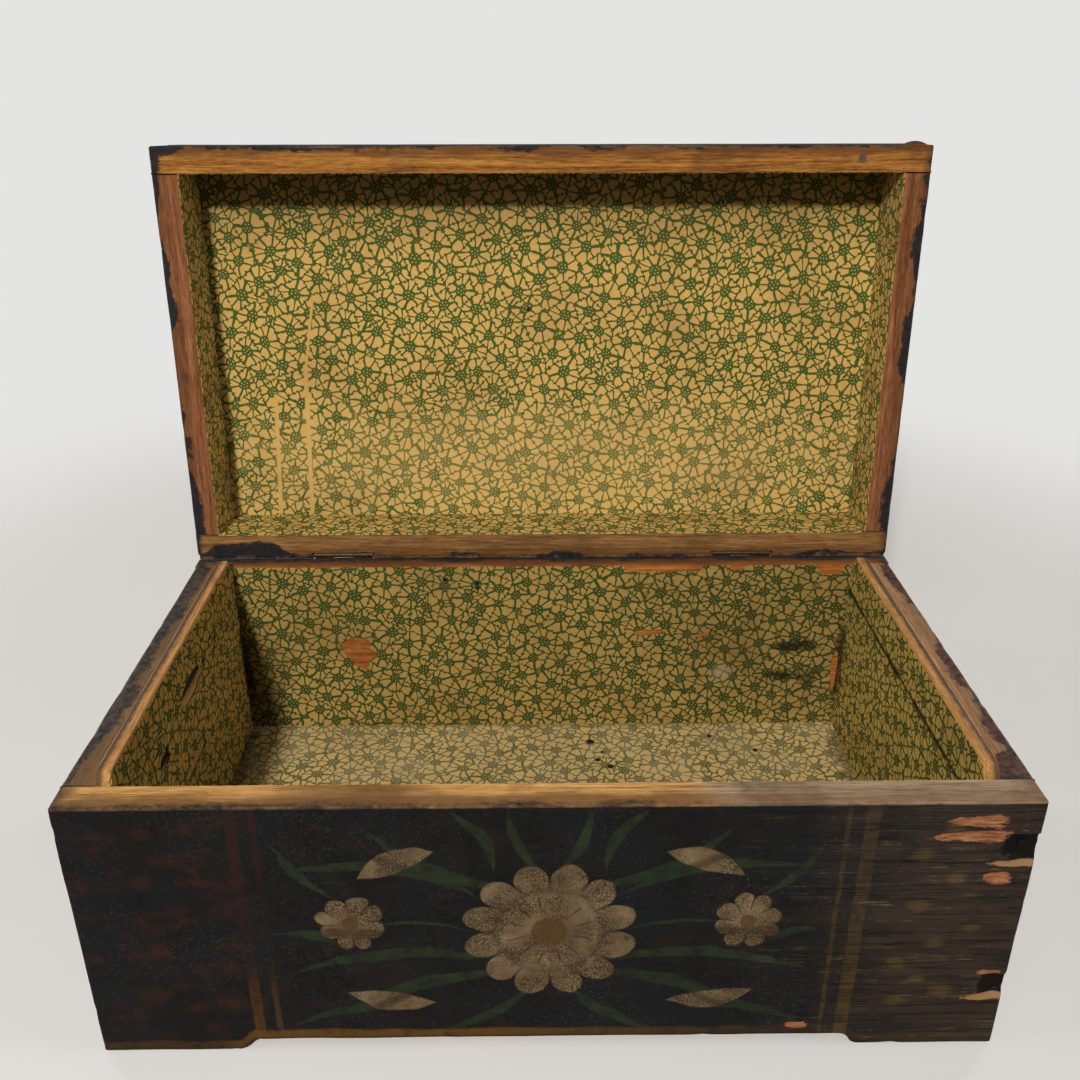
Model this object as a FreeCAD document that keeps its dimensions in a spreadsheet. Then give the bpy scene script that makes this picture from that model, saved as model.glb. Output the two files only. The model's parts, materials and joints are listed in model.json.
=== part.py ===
"""A wooden document box with a hinged lid, lined with paper, built board by board.

The origin is on the ground under the middle of the box, +X to the right, +Y to the back, +Z up.
The lid stands open. Its pieces are drawn closed, and their placement swings them about the hinge axis.
"""
import FreeCAD, Part
import enum
import os
import re

import Sketcher

# Driving sizes: name, value in millimetres (degrees for the angle), what it is
SIZES = (
    ("box_length", 380, "outside length of the box and lid"),
    ("box_depth", 213.2, "outside depth of the box and lid"),
    ("box_height", 129.5, "ground to the top edge of the walls"),
    ("wall_thickness", 13.6, "front and side boards"),
    ("back_thickness", 9.4, "back board"),
    ("bottom_thickness", 10, "bottom board"),
    ("bottom_height", 14.7, "ground to the underside of the bottom board"),
    ("groove_depth", 4, "groove in the walls that holds the bottom board"),
    ("housing_clearance", 0.1, "bottom board to the end of its groove"),
    ("foot_length", 57.5, "flat of a bracket foot, measured from the corner"),
    ("ogee_run", 9, "curve from a foot up to the apron, along the board"),
    ("foot_height", 6, "ground to the lower edge of the apron"),
    ("liner_thickness", 6, "boards that line the two ends"),
    ("liner_rise", 5.5, "height of the liners above the walls, as lips for the lid"),
    ("lip_round", 7, "rounded front corner of a lip"),
    ("lip_clearance", 0.6, "back end of a lip to the paper of the closed lid"),
    ("left_joint_height", 101, "ground to the joint between the left liner's two strips"),
    ("right_joint_height", 112.5, "ground to the joint between the right liner's two strips"),
    ("left_joint_gap", 0.4, "opened joint of the left liner"),
    ("right_joint_gap", 1.0, "opened joint of the right liner"),
    ("paper_thickness", 0.3, "lining paper with its paste"),
    ("paper_margin", 0.6, "bare wood above the top edge of the lining paper"),
    ("lid_wall", 12.6, "rails and stiles of the lid"),
    ("lid_inner_depth", 33.5, "rim of the lid to the underside of its top panel"),
    ("panel_thickness", 9.5, "top panel of the lid"),
    ("stile_gap", 0.8, "shrunken joint between a stile and the back rail"),
    ("lid_seat_gap", 0.3, "rim of the closed lid above the walls"),
    ("open_angle", 94.2, "lid opening at rest"),
    ("arris_radius", 1.2, "worn outer edges of the boards"),
    ("worn_corner", 3, "left back corner of the lid, worn rounder than the rest"),
    ("panel_round", 2.2, "worn outer edges of the top panel"),
    ("liner_round", 0.9, "worn top edges of the liners"),
    ("nail_half_width", 1.0, "half the width of a cut nail's square shank"),
    ("nail_head_half_width", 1.8, "half the width of a cut nail's square head"),
    ("nail_head_thickness", 0.9, "nail head, sunk flush"),
    ("nail_length", 34, "corner nails, whole length"),
    ("panel_nail_length", 26, "nails through the top panel, whole length"),
    ("rim_nail_length", 18, "nail in the rim of the front rail, whole length"),
    ("rim_nail_margin", 34.5, "nail in the rim from the right end of the lid"),
    ("rim_nail_radius", 1.0, "shank of the nail in the rim, a round wire nail"),
    ("rim_nail_head_radius", 2.0, "head of the nail in the rim"),
    ("nail_margin", 20, "end nails of a row to the end of the board"),
    ("stile_nail_margin", 50, "nails through the top panel into a stile, from the stile's ends"),
    ("frame_nail_margin", 8.4, "corner nails of the lid from its rim and from the top panel"),
    ("nail_clearance", 0.05, "nail or screw to its hole"),
    ("hinge_length", 32, "hinge along the joint"),
    ("hinge_spacing", 220, "middle of one hinge to the middle of the other"),
    ("leaf_reach", 16, "leaf from the edge of its board"),
    ("leaf_thickness", 1.0, "hinge leaf, let in flush"),
    ("leaf_clearance", 0.2, "end of a leaf to its recess"),
    ("barrel_radius", 1.5, "hinge barrel"),
    ("barrel_clearance", 0.5, "barrel to the notch in the lid and to the other leaf"),
    ("knuckle_gap", 0.3, "one knuckle to the next"),
    ("pin_radius", 0.8, "hinge pin"),
    ("pin_clearance", 0.05, "pin to the bore of the barrel"),
    ("pin_overhang", 0.6, "pin beyond each end of the barrel"),
    ("axis_inset", 0.4, "hinge axis in front of the back face"),
    ("axis_rise", 2.6, "hinge axis above the top edge of the walls"),
    ("screw_radius", 1.2, "hinge screw shank"),
    ("screw_head_radius", 2.2, "hinge screw head"),
    ("screw_head_thickness", 0.8, "hinge screw head, proud of the leaf"),
    ("screw_length", 8, "hinge screw under its head"),
    ("screw_margin", 7, "hinge screw to the end of its leaf"),
    ("screw_drop", 8.5, "hinge screw from the edge of its board"),
)
SIZE_NAMES = {name for name, value, meaning in SIZES}

# Places that several pieces share, as expressions of the sizes
LEFT_END = "(-box_length / 2)"
FRONT_FACE = "(-box_depth / 2)"
BACK_FACE = "(box_depth / 2)"
INNER_LEFT = f"({LEFT_END} + wall_thickness)"
INNER_RIGHT = "(box_length / 2 - wall_thickness)"
INNER_FRONT = f"({FRONT_FACE} + wall_thickness)"
INNER_BACK = f"({BACK_FACE} - back_thickness)"
SIDE_LENGTH = "(box_depth - wall_thickness - back_thickness)"
INNER_LENGTH = "(box_length - 2 * wall_thickness)"
LINED_LENGTH = f"({INNER_LENGTH} - 2 * liner_thickness)"
LINED_LEFT = f"({INNER_LEFT} + liner_thickness)"
LINED_RIGHT = f"({INNER_RIGHT} - liner_thickness)"
FLOOR_TOP = "(bottom_height + bottom_thickness)"
LIP_TOP = "(box_height + liner_rise)"
LIP_RELIEF = "max(lip_clearance; lid_wall + paper_thickness + lip_clearance - back_thickness)"
RIM = "(box_height + lid_seat_gap)"
LID_CEILING = f"({RIM} + lid_inner_depth)"
STILE_LENGTH = "(box_depth - 2 * lid_wall - stile_gap)"
LID_INNER_LENGTH = "(box_length - 2 * lid_wall)"
LID_INNER_DEPTH = "(box_depth - 2 * lid_wall)"
AXIS_Y = f"({BACK_FACE} - axis_inset)"
AXIS_Z = "(box_height + axis_rise)"
BARREL_ROOM = "(barrel_radius + barrel_clearance)"
HINGE_STARTS = ("(-(hinge_spacing + hinge_length) / 2)", "((hinge_spacing - hinge_length) / 2)")
FRAME_NAIL_HEIGHTS = ("frame_nail_margin", "(lid_inner_depth - frame_nail_margin)")
CORNER_NAIL_COUNT = 3
RAIL_NAIL_COUNT = 5
STILE_NAIL_COUNT = 2
KNUCKLE_COUNT = 3

# The distance within which two places count as one
TOLERANCE = 1e-4


class Point(enum.IntEnum):
    """Which point of a line or arc a constraint of a sketch takes."""
    START = 1
    END = 2
    CENTRE = 3


class Axis(enum.IntEnum):
    """The axes of a sketch, as a constraint names them."""
    X = -1
    Y = -2


ORIGIN = (Axis.X, Point.START)

doc = FreeCAD.newDocument("document_box")
sheet = doc.addObject("Spreadsheet::Sheet", "Sizes")
for row, (name, value, meaning) in enumerate(SIZES, start=1):
    sheet.set(f"A{row}", meaning)
    sheet.set(f"B{row}", str(value))
    sheet.setAlias(f"B{row}", name)
doc.recompute()
sub_parts = []


def tied(expression):
    """The expression with each size's name pointing at its cell in the sheet."""
    return re.sub(r"[a-z_]+", lambda word: ("Sizes." if word[0] in SIZE_NAMES else "") + word[0], expression)


def worth(expression):
    """The expression's value now, for the first guess of a sketch."""
    return float(sheet.evalExpression(expression))


def place(piece, x, y, z, on_lid=False):
    """Put a piece's own corner at x, y, z, and swing it open about the hinge axis if it is on the lid."""
    angle = "-open_angle" if on_lid else "0"
    pivot = f"vector(0; {AXIS_Y} - {y}; {AXIS_Z} - {z})"
    where = f"placement(vector({x}; {y}; {z}); rotation(vector(1; 0; 0); {angle}); {pivot})"
    piece.setExpression("Placement", tied(where))


def new_body(label):
    body = doc.addObject("PartDesign::Body", label)
    body.Label = label
    sub_parts.append(body)
    return body


def new_sketch(body, name, plane, right="0", up="0", out="0"):
    """A sketch on one of the body's own planes, its origin moved right and up in it and out along its normal.

    The normals are +Z for XY, -Y for XZ and +X for YZ.
    """
    sketch = body.newObject("Sketcher::SketchObject", name)
    support = next(o for o in body.Origin.OriginFeatures if o.Role == f"{plane}_Plane")
    sketch.AttachmentSupport = [(support, "")]
    sketch.MapMode = "FlatFace"
    for axis, shift in zip("xyz", (right, up, out)):
        sketch.setExpression(f"AttachmentOffset.Base.{axis}", tied(shift))
    return sketch


def dimension(sketch, kind, expression, *where):
    """A dimension of the sketch, bound to an expression."""
    index = sketch.addConstraint(Sketcher.Constraint(kind, *where, worth(expression)))
    sketch.setExpression(f"Constraints[{index}]", tied(expression))


def draw_outline(sketch, corners):
    """A closed outline of straight lines through corners given as pairs of expressions."""
    points = [FreeCAD.Vector(worth(right), worth(up), 0) for right, up in corners]
    lines = [sketch.addGeometry(Part.LineSegment(a, b)) for a, b in zip(points, points[1:] + points[:1])]
    for line, after in zip(lines, lines[1:] + lines[:1]):
        sketch.addConstraint(Sketcher.Constraint("Coincident", line, Point.END, after, Point.START))
    for line, (right, up) in zip(lines, corners):
        fix_point(sketch, line, Point.START, right, up)


def fix_point(sketch, line, end, right, up):
    """Dimension one end of a line, or the centre of a circle, from the sketch's axes."""
    for kind, expression, axis in (("DistanceX", right, Axis.Y), ("DistanceY", up, Axis.X)):
        if worth(expression) == 0:
            sketch.addConstraint(Sketcher.Constraint("PointOnObject", line, end, axis))
        else:
            dimension(sketch, kind, expression, *ORIGIN, line, end)


def draw_rectangle(sketch, width, height):
    draw_outline(sketch, [("0", "0"), (width, "0"), (width, height), ("0", height)])


def draw_circles(sketch, centres, radius):
    """Circles of one radius, with centres given as pairs of expressions."""
    for i, (right, up) in enumerate(centres):
        middle = FreeCAD.Vector(worth(right), worth(up), 0)
        sketch.addGeometry(Part.Circle(middle, FreeCAD.Vector(0, 0, 1), worth(radius)))
        fix_point(sketch, i, Point.CENTRE, right, up)
        dimension(sketch, "Radius", radius, i)


def draw_squares(sketch, centres, half_width):
    """Squares of one size, with centres given as pairs of expressions."""
    for right, up in centres:
        first, last = f"{right} - ({half_width})", f"{right} + ({half_width})"
        low, high = f"{up} - ({half_width})", f"{up} + ({half_width})"
        draw_outline(sketch, [(first, low), (last, low), (last, high), (first, high)])


# How a nail is drawn, and the sizes of its shank and head
CUT_NAIL = (draw_squares, "nail_half_width", "nail_head_half_width")
WIRE_NAIL = (draw_circles, "rim_nail_radius", "rim_nail_head_radius")


def draw_foot_outline(sketch, length, height, first_foot, last_foot):
    """A board that stands on two bracket feet, with an ogee of two equal arcs from each foot to the apron."""
    long, tall, rise, run = (worth(e) for e in (length, height, "foot_height", "ogee_run"))
    radius = (run ** 2 + rise ** 2) / (4 * rise)
    ogees = []
    for heel, toward in ((worth(first_foot), 1), (long - worth(last_foot), -1)):
        heel_point = FreeCAD.Vector(heel, 0, 0)
        middle = FreeCAD.Vector(heel + toward * run / 2, rise / 2, 0)
        top = FreeCAD.Vector(heel + toward * run, rise, 0)
        below = FreeCAD.Vector(heel, radius, 0)
        above = FreeCAD.Vector(heel + toward * run, rise - radius, 0)
        ogees.append((heel_point, middle, top, below, above))

    def ogee_arc(start, end, centre):
        bulge = (start + end) / 2 - centre
        return Part.Arc(start, centre + bulge.normalize() * radius, end)

    (heel_1, mid_1, top_1, low_1, high_1), (heel_2, mid_2, top_2, low_2, high_2) = ogees
    corner = [FreeCAD.Vector(*p, 0) for p in ((0, 0), (long, 0), (long, tall), (0, tall))]
    steps = [
        Part.LineSegment(corner[0], heel_1), ogee_arc(heel_1, mid_1, low_1), ogee_arc(mid_1, top_1, high_1),
        Part.LineSegment(top_1, top_2), ogee_arc(top_2, mid_2, high_2), ogee_arc(mid_2, heel_2, low_2),
        Part.LineSegment(heel_2, corner[1]), Part.LineSegment(corner[1], corner[2]),
        Part.LineSegment(corner[2], corner[3]), Part.LineSegment(corner[3], corner[0]),
    ]
    sketch.addGeometry(steps)
    ends = []
    for i, step in enumerate(steps):
        start = steps[i - 1].EndPoint if i else corner[0]
        forward = near(sketch.getPoint(i, Point.START).distanceToPoint(start), 0)
        ends.append((Point.START, Point.END) if forward else (Point.END, Point.START))
    smooth = {(0, 1), (1, 2), (2, 3), (3, 4), (4, 5), (5, 6)}
    for i in range(len(steps)):
        after = (i + 1) % len(steps)
        kind = "Tangent" if (i, after) in smooth else "Coincident"
        sketch.addConstraint(Sketcher.Constraint(kind, i, ends[i][1], after, ends[after][0]))
    sketch.addConstraint(Sketcher.Constraint("Coincident", 0, Point.START, *ORIGIN))
    for line in (0, 3, 6, 8):
        sketch.addConstraint(Sketcher.Constraint("Horizontal", line))
    for line in (7, 9):
        sketch.addConstraint(Sketcher.Constraint("Vertical", line))
    for first, second in ((1, 2), (5, 4)):
        sketch.addConstraint(Sketcher.Constraint("Equal", first, second))
    dimension(sketch, "DistanceX", length, 8, Point.END, 8, Point.START)
    dimension(sketch, "DistanceY", height, 7, Point.START, 7, Point.END)
    dimension(sketch, "DistanceX", first_foot, 0, Point.START, 0, Point.END)
    dimension(sketch, "DistanceX", last_foot, 6, Point.START, 6, Point.END)
    dimension(sketch, "DistanceX", "ogee_run", 0, Point.END, 3, Point.START)
    dimension(sketch, "DistanceX", "ogee_run", 3, Point.END, 6, Point.START)
    dimension(sketch, "DistanceY", "foot_height", 0, Point.END, 3, Point.START)


def extrude(body, sketch, length, backwards=False):
    """Pad a sketch along its normal, or backwards against it."""
    pad = body.newObject("PartDesign::Pad", f"{sketch.Name}_pad")
    pad.Profile = sketch
    pad.setExpression("Length", tied(length))
    pad.Reversed = backwards
    return pad


def cut(body, sketch, depth=None, along_normal=False):
    """Pocket a sketch to a depth, against its normal unless told otherwise, or with no depth right through."""
    doc.recompute()
    before = body.Shape.Volume
    pocket = body.newObject("PartDesign::Pocket", f"{sketch.Name}_cut")
    pocket.Profile = sketch
    if depth:
        pocket.setExpression("Length", tied(depth))
        pocket.Reversed = along_normal
    else:
        pocket.Type = "ThroughAll"
        pocket.SideType = "Symmetric"
    doc.recompute()
    if body.Shape.Volume > before - TOLERANCE:
        raise RuntimeError(f"{body.Label}: {sketch.Name} cuts nothing")
    return pocket


def round_edges(body, radius, wanted):
    """Fillet the edges that pass the test."""
    doc.recompute()
    tip = body.Tip
    names = [f"Edge{i}" for i, edge in enumerate(tip.Shape.Edges, start=1) if wanted(edge)]
    fillet = body.newObject("PartDesign::Fillet", radius)
    fillet.Base = (tip, names)
    fillet.setExpression("Radius", tied(radius))


def runs_along(edge, axis):
    """Whether a straight edge is parallel to x, y or z."""
    if not isinstance(edge.Curve, Part.Line):
        return False
    return near(abs(getattr(edge.Curve.Direction, axis)), 1)


def middle_of(edge):
    return edge.valueAt((edge.FirstParameter + edge.LastParameter) / 2)


def near(a, b):
    return abs(a - b) < TOLERANCE


def row_places(count, length, margin="nail_margin"):
    """Evenly spaced places of a row of nails along a length, the end ones at the margin."""
    return [f"({margin} + {i} / {count - 1} * ({length} - 2 * {margin}))" for i in range(count)]


def draw_nail_holes(body, name, plane, centres, depth, out="0", along_normal=False, head=False, kind=CUT_NAIL):
    """Holes for a row of nails, with sunk seats for their heads where they go in."""
    draw, shank_size, head_size = kind
    holes = new_sketch(body, f"{name}_holes", plane, out=out)
    draw(holes, centres, f"{shank_size} + nail_clearance")
    cut(body, holes, depth, along_normal)
    if head:
        seats = new_sketch(body, f"{name}_seats", plane, out=out)
        draw(seats, centres, f"{head_size} + nail_clearance")
        cut(body, seats, "nail_head_thickness", along_normal)


def add_nails(label, plane, centres, length, backwards, kind=CUT_NAIL):
    """Nails with flat heads whose tops lie on the sketch plane, driven along or against its normal."""
    draw, shank_size, head_size = kind
    body = new_body(label)
    heads = new_sketch(body, "heads", plane)
    draw(heads, centres, head_size)
    extrude(body, heads, "nail_head_thickness", backwards)
    shanks = new_sketch(body, "shanks", plane)
    draw(shanks, centres, shank_size)
    extrude(body, shanks, length, backwards)
    return body


def add_paper(label, x, y, z, length, width, height, on_lid=False):
    """A rectangular sheet of lining paper."""
    sheet_of_paper = doc.addObject("Part::Box", label)
    sheet_of_paper.Label = label
    for side, size in (("Length", length), ("Width", width), ("Height", height)):
        sheet_of_paper.setExpression(side, tied(size))
    place(sheet_of_paper, x, y, z, on_lid)
    sub_parts.append(sheet_of_paper)


# Box walls
CORNER_NAIL_HEIGHTS = row_places(CORNER_NAIL_COUNT, "box_height")
CORNER_NAILS = [(x, z) for x in ("(wall_thickness / 2)", "(box_length - wall_thickness / 2)")
                for z in CORNER_NAIL_HEIGHTS]


def add_front_board():
    body = new_body("front_board")
    outline = new_sketch(body, "outline", "XZ")
    draw_foot_outline(outline, "box_length", "box_height", "foot_length", "foot_length")
    extrude(body, outline, "wall_thickness", backwards=True)
    groove = new_sketch(body, "groove", "XZ", "wall_thickness - groove_depth", "bottom_height",
                        "-wall_thickness")
    draw_rectangle(groove, f"{INNER_LENGTH} + 2 * groove_depth", "bottom_thickness")
    cut(body, groove, "groove_depth", along_normal=True)
    draw_nail_holes(body, "corner", "XZ", CORNER_NAILS, "wall_thickness", head=True)
    length, height = worth("box_length"), worth("box_height")

    def outer_arris(edge):
        spot = middle_of(edge)
        on_rim = near(spot.z, height) or near(spot.x, 0) or near(spot.x, length)
        return near(spot.y, 0) and on_rim and (runs_along(edge, "x") or runs_along(edge, "z"))

    round_edges(body, "arris_radius", outer_arris)
    place(body, LEFT_END, FRONT_FACE, "0")


def add_back_board():
    body = new_body("back_board")
    outline = new_sketch(body, "outline", "XZ")
    draw_rectangle(outline, "box_length", "box_height")
    extrude(body, outline, "back_thickness", backwards=True)
    groove = new_sketch(body, "groove", "XZ", "wall_thickness - groove_depth", "bottom_height")
    draw_rectangle(groove, f"{INNER_LENGTH} + 2 * groove_depth", "bottom_thickness")
    cut(body, groove, "groove_depth")
    draw_nail_holes(body, "corner", "XZ", CORNER_NAILS, "back_thickness", "-back_thickness", True, head=True)
    for side, start in zip(("left", "right"), HINGE_STARTS):
        recess = new_sketch(body, f"{side}_recess", "XZ", f"{start} - leaf_clearance + box_length / 2",
                            "box_height - leaf_reach - leaf_clearance", "-back_thickness")
        draw_rectangle(recess, "hinge_length + 2 * leaf_clearance", "leaf_reach + leaf_clearance")
        cut(body, recess, "leaf_thickness", along_normal=True)
    pilots = new_sketch(body, "pilots", "XZ", out="-back_thickness")
    centres = [(f"{x} + box_length / 2", "box_height - screw_drop") for x in screw_places()]
    draw_circles(pilots, centres, "screw_radius + nail_clearance")
    cut(body, pilots, "screw_length", along_normal=True)
    length, depth = worth("box_length"), worth("back_thickness")

    def outer_corner(edge):
        spot = middle_of(edge)
        return near(spot.y, depth) and runs_along(edge, "z") and (near(spot.x, 0) or near(spot.x, length))

    round_edges(body, "arris_radius", outer_corner)
    place(body, LEFT_END, INNER_BACK, "0")


def add_side_board(label, x, inner_face, groove_inward, outer_x):
    """An end board between the front and back, standing on two bracket feet."""
    body = new_body(label)
    outline = new_sketch(body, "outline", "YZ")
    draw_foot_outline(outline, SIDE_LENGTH, "box_height",
                      "foot_length - wall_thickness", "foot_length - back_thickness")
    extrude(body, outline, "wall_thickness")
    groove = new_sketch(body, "groove", "YZ", up="bottom_height", out=inner_face)
    draw_rectangle(groove, SIDE_LENGTH, "bottom_thickness")
    cut(body, groove, "groove_depth", along_normal=groove_inward)
    centres = [("wall_thickness / 2", z) for z in CORNER_NAIL_HEIGHTS]
    draw_nail_holes(body, "front", "XZ", centres, "nail_length - wall_thickness")
    draw_nail_holes(body, "back", "XZ", centres, "nail_length - back_thickness", f"-{SIDE_LENGTH}", True)
    outer, height = worth(outer_x), worth("box_height")

    def top_outer_arris(edge):
        spot = middle_of(edge)
        return near(spot.x, outer) and near(spot.z, height) and runs_along(edge, "y")

    round_edges(body, "arris_radius", top_outer_arris)
    place(body, x, INNER_FRONT, "0")


def add_bottom_board():
    body = new_body("bottom_board")
    hidden = "(groove_depth - housing_clearance)"
    outline = new_sketch(body, "outline", "XY")
    draw_rectangle(outline, f"{INNER_LENGTH} + 2 * {hidden}", f"{SIDE_LENGTH} + 2 * {hidden}")
    extrude(body, outline, "bottom_thickness")
    place(body, f"{INNER_LEFT} - {hidden}", f"{INNER_FRONT} - {hidden}", "bottom_height")


# Liners of the two ends and the lining paper
def draw_lip_outline(sketch, length, bottom, top, relief, corner):
    """A strip that ends in a lip: its top rises over the wall, rounded in front and cut away at the back."""
    wall_top = f"(box_height - {bottom})"
    lip_top = f"({top} - {bottom})"
    long, tall, r = worth(length), worth(lip_top), worth(corner)
    step = long - worth(relief)
    level = worth(wall_top)
    corners = [(0, 0), (long, 0), (long, level), (step, level), (step, tall), (r, tall), (0, tall - r)]
    points = [FreeCAD.Vector(right, up, 0) for right, up in corners]
    for start, end in zip(points[:5], points[1:6]):
        sketch.addGeometry(Part.LineSegment(start, end))
    centre = FreeCAD.Vector(r, tall - r, 0)
    over = centre + FreeCAD.Vector(-1, 1, 0).normalize() * r
    sketch.addGeometry(Part.Arc(points[5], over, points[6]))
    sketch.addGeometry(Part.LineSegment(points[6], points[0]))
    forward = near(sketch.getPoint(5, Point.START).distanceToPoint(points[5]), 0)
    arc_start, arc_end = (Point.START, Point.END) if forward else (Point.END, Point.START)
    for line in range(4):
        sketch.addConstraint(Sketcher.Constraint("Coincident", line, Point.END, line + 1, Point.START))
    sketch.addConstraint(Sketcher.Constraint("Tangent", 4, Point.END, 5, arc_start))
    sketch.addConstraint(Sketcher.Constraint("Tangent", 5, arc_end, 6, Point.START))
    sketch.addConstraint(Sketcher.Constraint("Coincident", 6, Point.END, 0, Point.START))
    sketch.addConstraint(Sketcher.Constraint("Coincident", 0, Point.START, *ORIGIN))
    for line in (0, 2, 4):
        sketch.addConstraint(Sketcher.Constraint("Horizontal", line))
    for line in (1, 3, 6):
        sketch.addConstraint(Sketcher.Constraint("Vertical", line))
    dimension(sketch, "DistanceX", length, 0, Point.START, 0, Point.END)
    dimension(sketch, "DistanceY", wall_top, 1, Point.START, 1, Point.END)
    dimension(sketch, "DistanceX", relief, 2, Point.END, 2, Point.START)
    dimension(sketch, "DistanceY", lip_top, 0, Point.START, 3, Point.END)
    dimension(sketch, "Radius", corner, 5)


def add_liner(side, x, joint, gap):
    """The two strips of one end's liner; the upper one is the lid's locating lip."""
    lower = new_body(f"{side}_liner_lower")
    outline = new_sketch(lower, "outline", "YZ")
    draw_rectangle(outline, SIDE_LENGTH, f"{joint} - {FLOOR_TOP}")
    extrude(lower, outline, "liner_thickness")
    place(lower, x, INNER_FRONT, FLOOR_TOP)

    upper = new_body(f"{side}_liner_upper")
    bottom = f"({joint} + {gap})"
    outline = new_sketch(upper, "outline", "YZ")
    draw_lip_outline(outline, SIDE_LENGTH, bottom, LIP_TOP, LIP_RELIEF, "lip_round")
    extrude(upper, outline, "liner_thickness")
    top = worth(f"{LIP_TOP} - {bottom}")

    def lip_arris(edge):
        return near(middle_of(edge).z, top) and runs_along(edge, "y")

    round_edges(upper, "liner_round", lip_arris)
    place(upper, x, INNER_FRONT, bottom)


def add_liner_papers(side, x, joint, gap):
    """Paper on the inner faces of one end's two strips."""
    start = f"({INNER_FRONT} + paper_thickness)"
    length = f"({SIDE_LENGTH} - 2 * paper_thickness)"
    add_paper(f"{side}_lower_paper", x, start, FLOOR_TOP, "paper_thickness", length, f"{joint} - {FLOOR_TOP}")
    upper = new_body(f"{side}_upper_paper")
    bottom = f"({joint} + {gap})"
    outline = new_sketch(upper, "outline", "YZ")
    draw_lip_outline(outline, length, bottom, f"({LIP_TOP} - liner_round - paper_margin)",
                     f"({LIP_RELIEF} - paper_thickness)", "(lip_round - paper_thickness)")
    extrude(upper, outline, "paper_thickness")
    place(upper, x, start, bottom)


def add_wall_papers():
    height = f"(box_height - paper_margin - {FLOOR_TOP})"
    add_paper("front_lining_paper", LINED_LEFT, INNER_FRONT, FLOOR_TOP, LINED_LENGTH, "paper_thickness", height)
    add_paper("back_lining_paper", LINED_LEFT, f"({INNER_BACK} - paper_thickness)", FLOOR_TOP,
              LINED_LENGTH, "paper_thickness", height)
    add_paper("floor_lining_paper", f"({LINED_LEFT} + paper_thickness)", f"({INNER_FRONT} + paper_thickness)",
              FLOOR_TOP, f"({LINED_LENGTH} - 2 * paper_thickness)", f"({SIDE_LENGTH} - 2 * paper_thickness)",
              "paper_thickness")


# Lid
FRAME_NAILS = [(x, z) for x in ("(lid_wall / 2)", "(box_length - lid_wall / 2)") for z in FRAME_NAIL_HEIGHTS]
RAIL_NAIL_PLACES = row_places(RAIL_NAIL_COUNT, "box_length")
STILE_NAIL_PLACES = row_places(STILE_NAIL_COUNT, LID_INNER_DEPTH, "stile_nail_margin")
RIM_NAIL = [("(box_length - rim_nail_margin)", "(lid_wall / 2)")]
PANEL_NAILS = [(x, y) for x in RAIL_NAIL_PLACES for y in ("(lid_wall / 2)", "(box_depth - lid_wall / 2)")]
PANEL_NAILS += [(x, f"(lid_wall + {y})") for x in ("(lid_wall / 2)", "(box_length - lid_wall / 2)")
                for y in STILE_NAIL_PLACES]


def add_lid_rail(label, y, outer_y, nails_out, nails_forward, left_corner):
    """A full-width rail of the lid's frame, with nail holes and worn outer edges."""
    body = new_body(label)
    outline = new_sketch(body, "outline", "XY")
    draw_rectangle(outline, "box_length", "lid_wall")
    extrude(body, outline, "lid_inner_depth")
    draw_nail_holes(body, "frame", "XZ", FRAME_NAILS, "lid_wall", nails_out, nails_forward, head=True)
    from_top = [(x, "lid_wall / 2") for x in RAIL_NAIL_PLACES]
    draw_nail_holes(body, "panel", "XY", from_top, "panel_nail_length - panel_thickness", "lid_inner_depth")
    length, outer = worth("box_length"), worth(outer_y)

    def corner_at(x):
        return lambda edge: (runs_along(edge, "z") and near(middle_of(edge).x, x)
                             and near(middle_of(edge).y, outer))

    def rim_arris(edge):
        return near(middle_of(edge).y, outer) and near(middle_of(edge).z, 0) and runs_along(edge, "x")

    round_edges(body, left_corner, corner_at(0))
    round_edges(body, "arris_radius", corner_at(length))
    round_edges(body, "arris_radius", rim_arris)
    place(body, LEFT_END, y, RIM, on_lid=True)
    return body


def add_front_rail():
    body = add_lid_rail("lid_front_rail", FRONT_FACE, "0", "0", False, "arris_radius")
    draw_nail_holes(body, "rim", "XY", RIM_NAIL, "rim_nail_length", along_normal=True, head=True,
                    kind=WIRE_NAIL)


def add_back_rail():
    body = add_lid_rail("lid_back_rail", f"({BACK_FACE} - lid_wall)", "lid_wall", "-lid_wall", True,
                        "worn_corner")
    for side, start in zip(("left", "right"), HINGE_STARTS):
        for name, spare, height, depth in (
            ("recess", "leaf_clearance", "leaf_reach + leaf_clearance", "leaf_thickness"),
            ("notch", "(pin_overhang + barrel_clearance)", f"axis_rise - lid_seat_gap + {BARREL_ROOM}",
             f"axis_inset + {BARREL_ROOM}"),
        ):
            left_edge = f"{start} - {spare} + box_length / 2"
            pocket = new_sketch(body, f"{side}_{name}", "XZ", left_edge, out="-lid_wall")
            draw_rectangle(pocket, f"hinge_length + 2 * {spare}", height)
            cut(body, pocket, depth, along_normal=True)
    pilots = new_sketch(body, "pilots", "XZ", out="-lid_wall")
    draw_circles(pilots, [(f"{x} + box_length / 2", "screw_drop") for x in screw_places()],
                 "screw_radius + nail_clearance")
    cut(body, pilots, "screw_length", along_normal=True)


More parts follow.
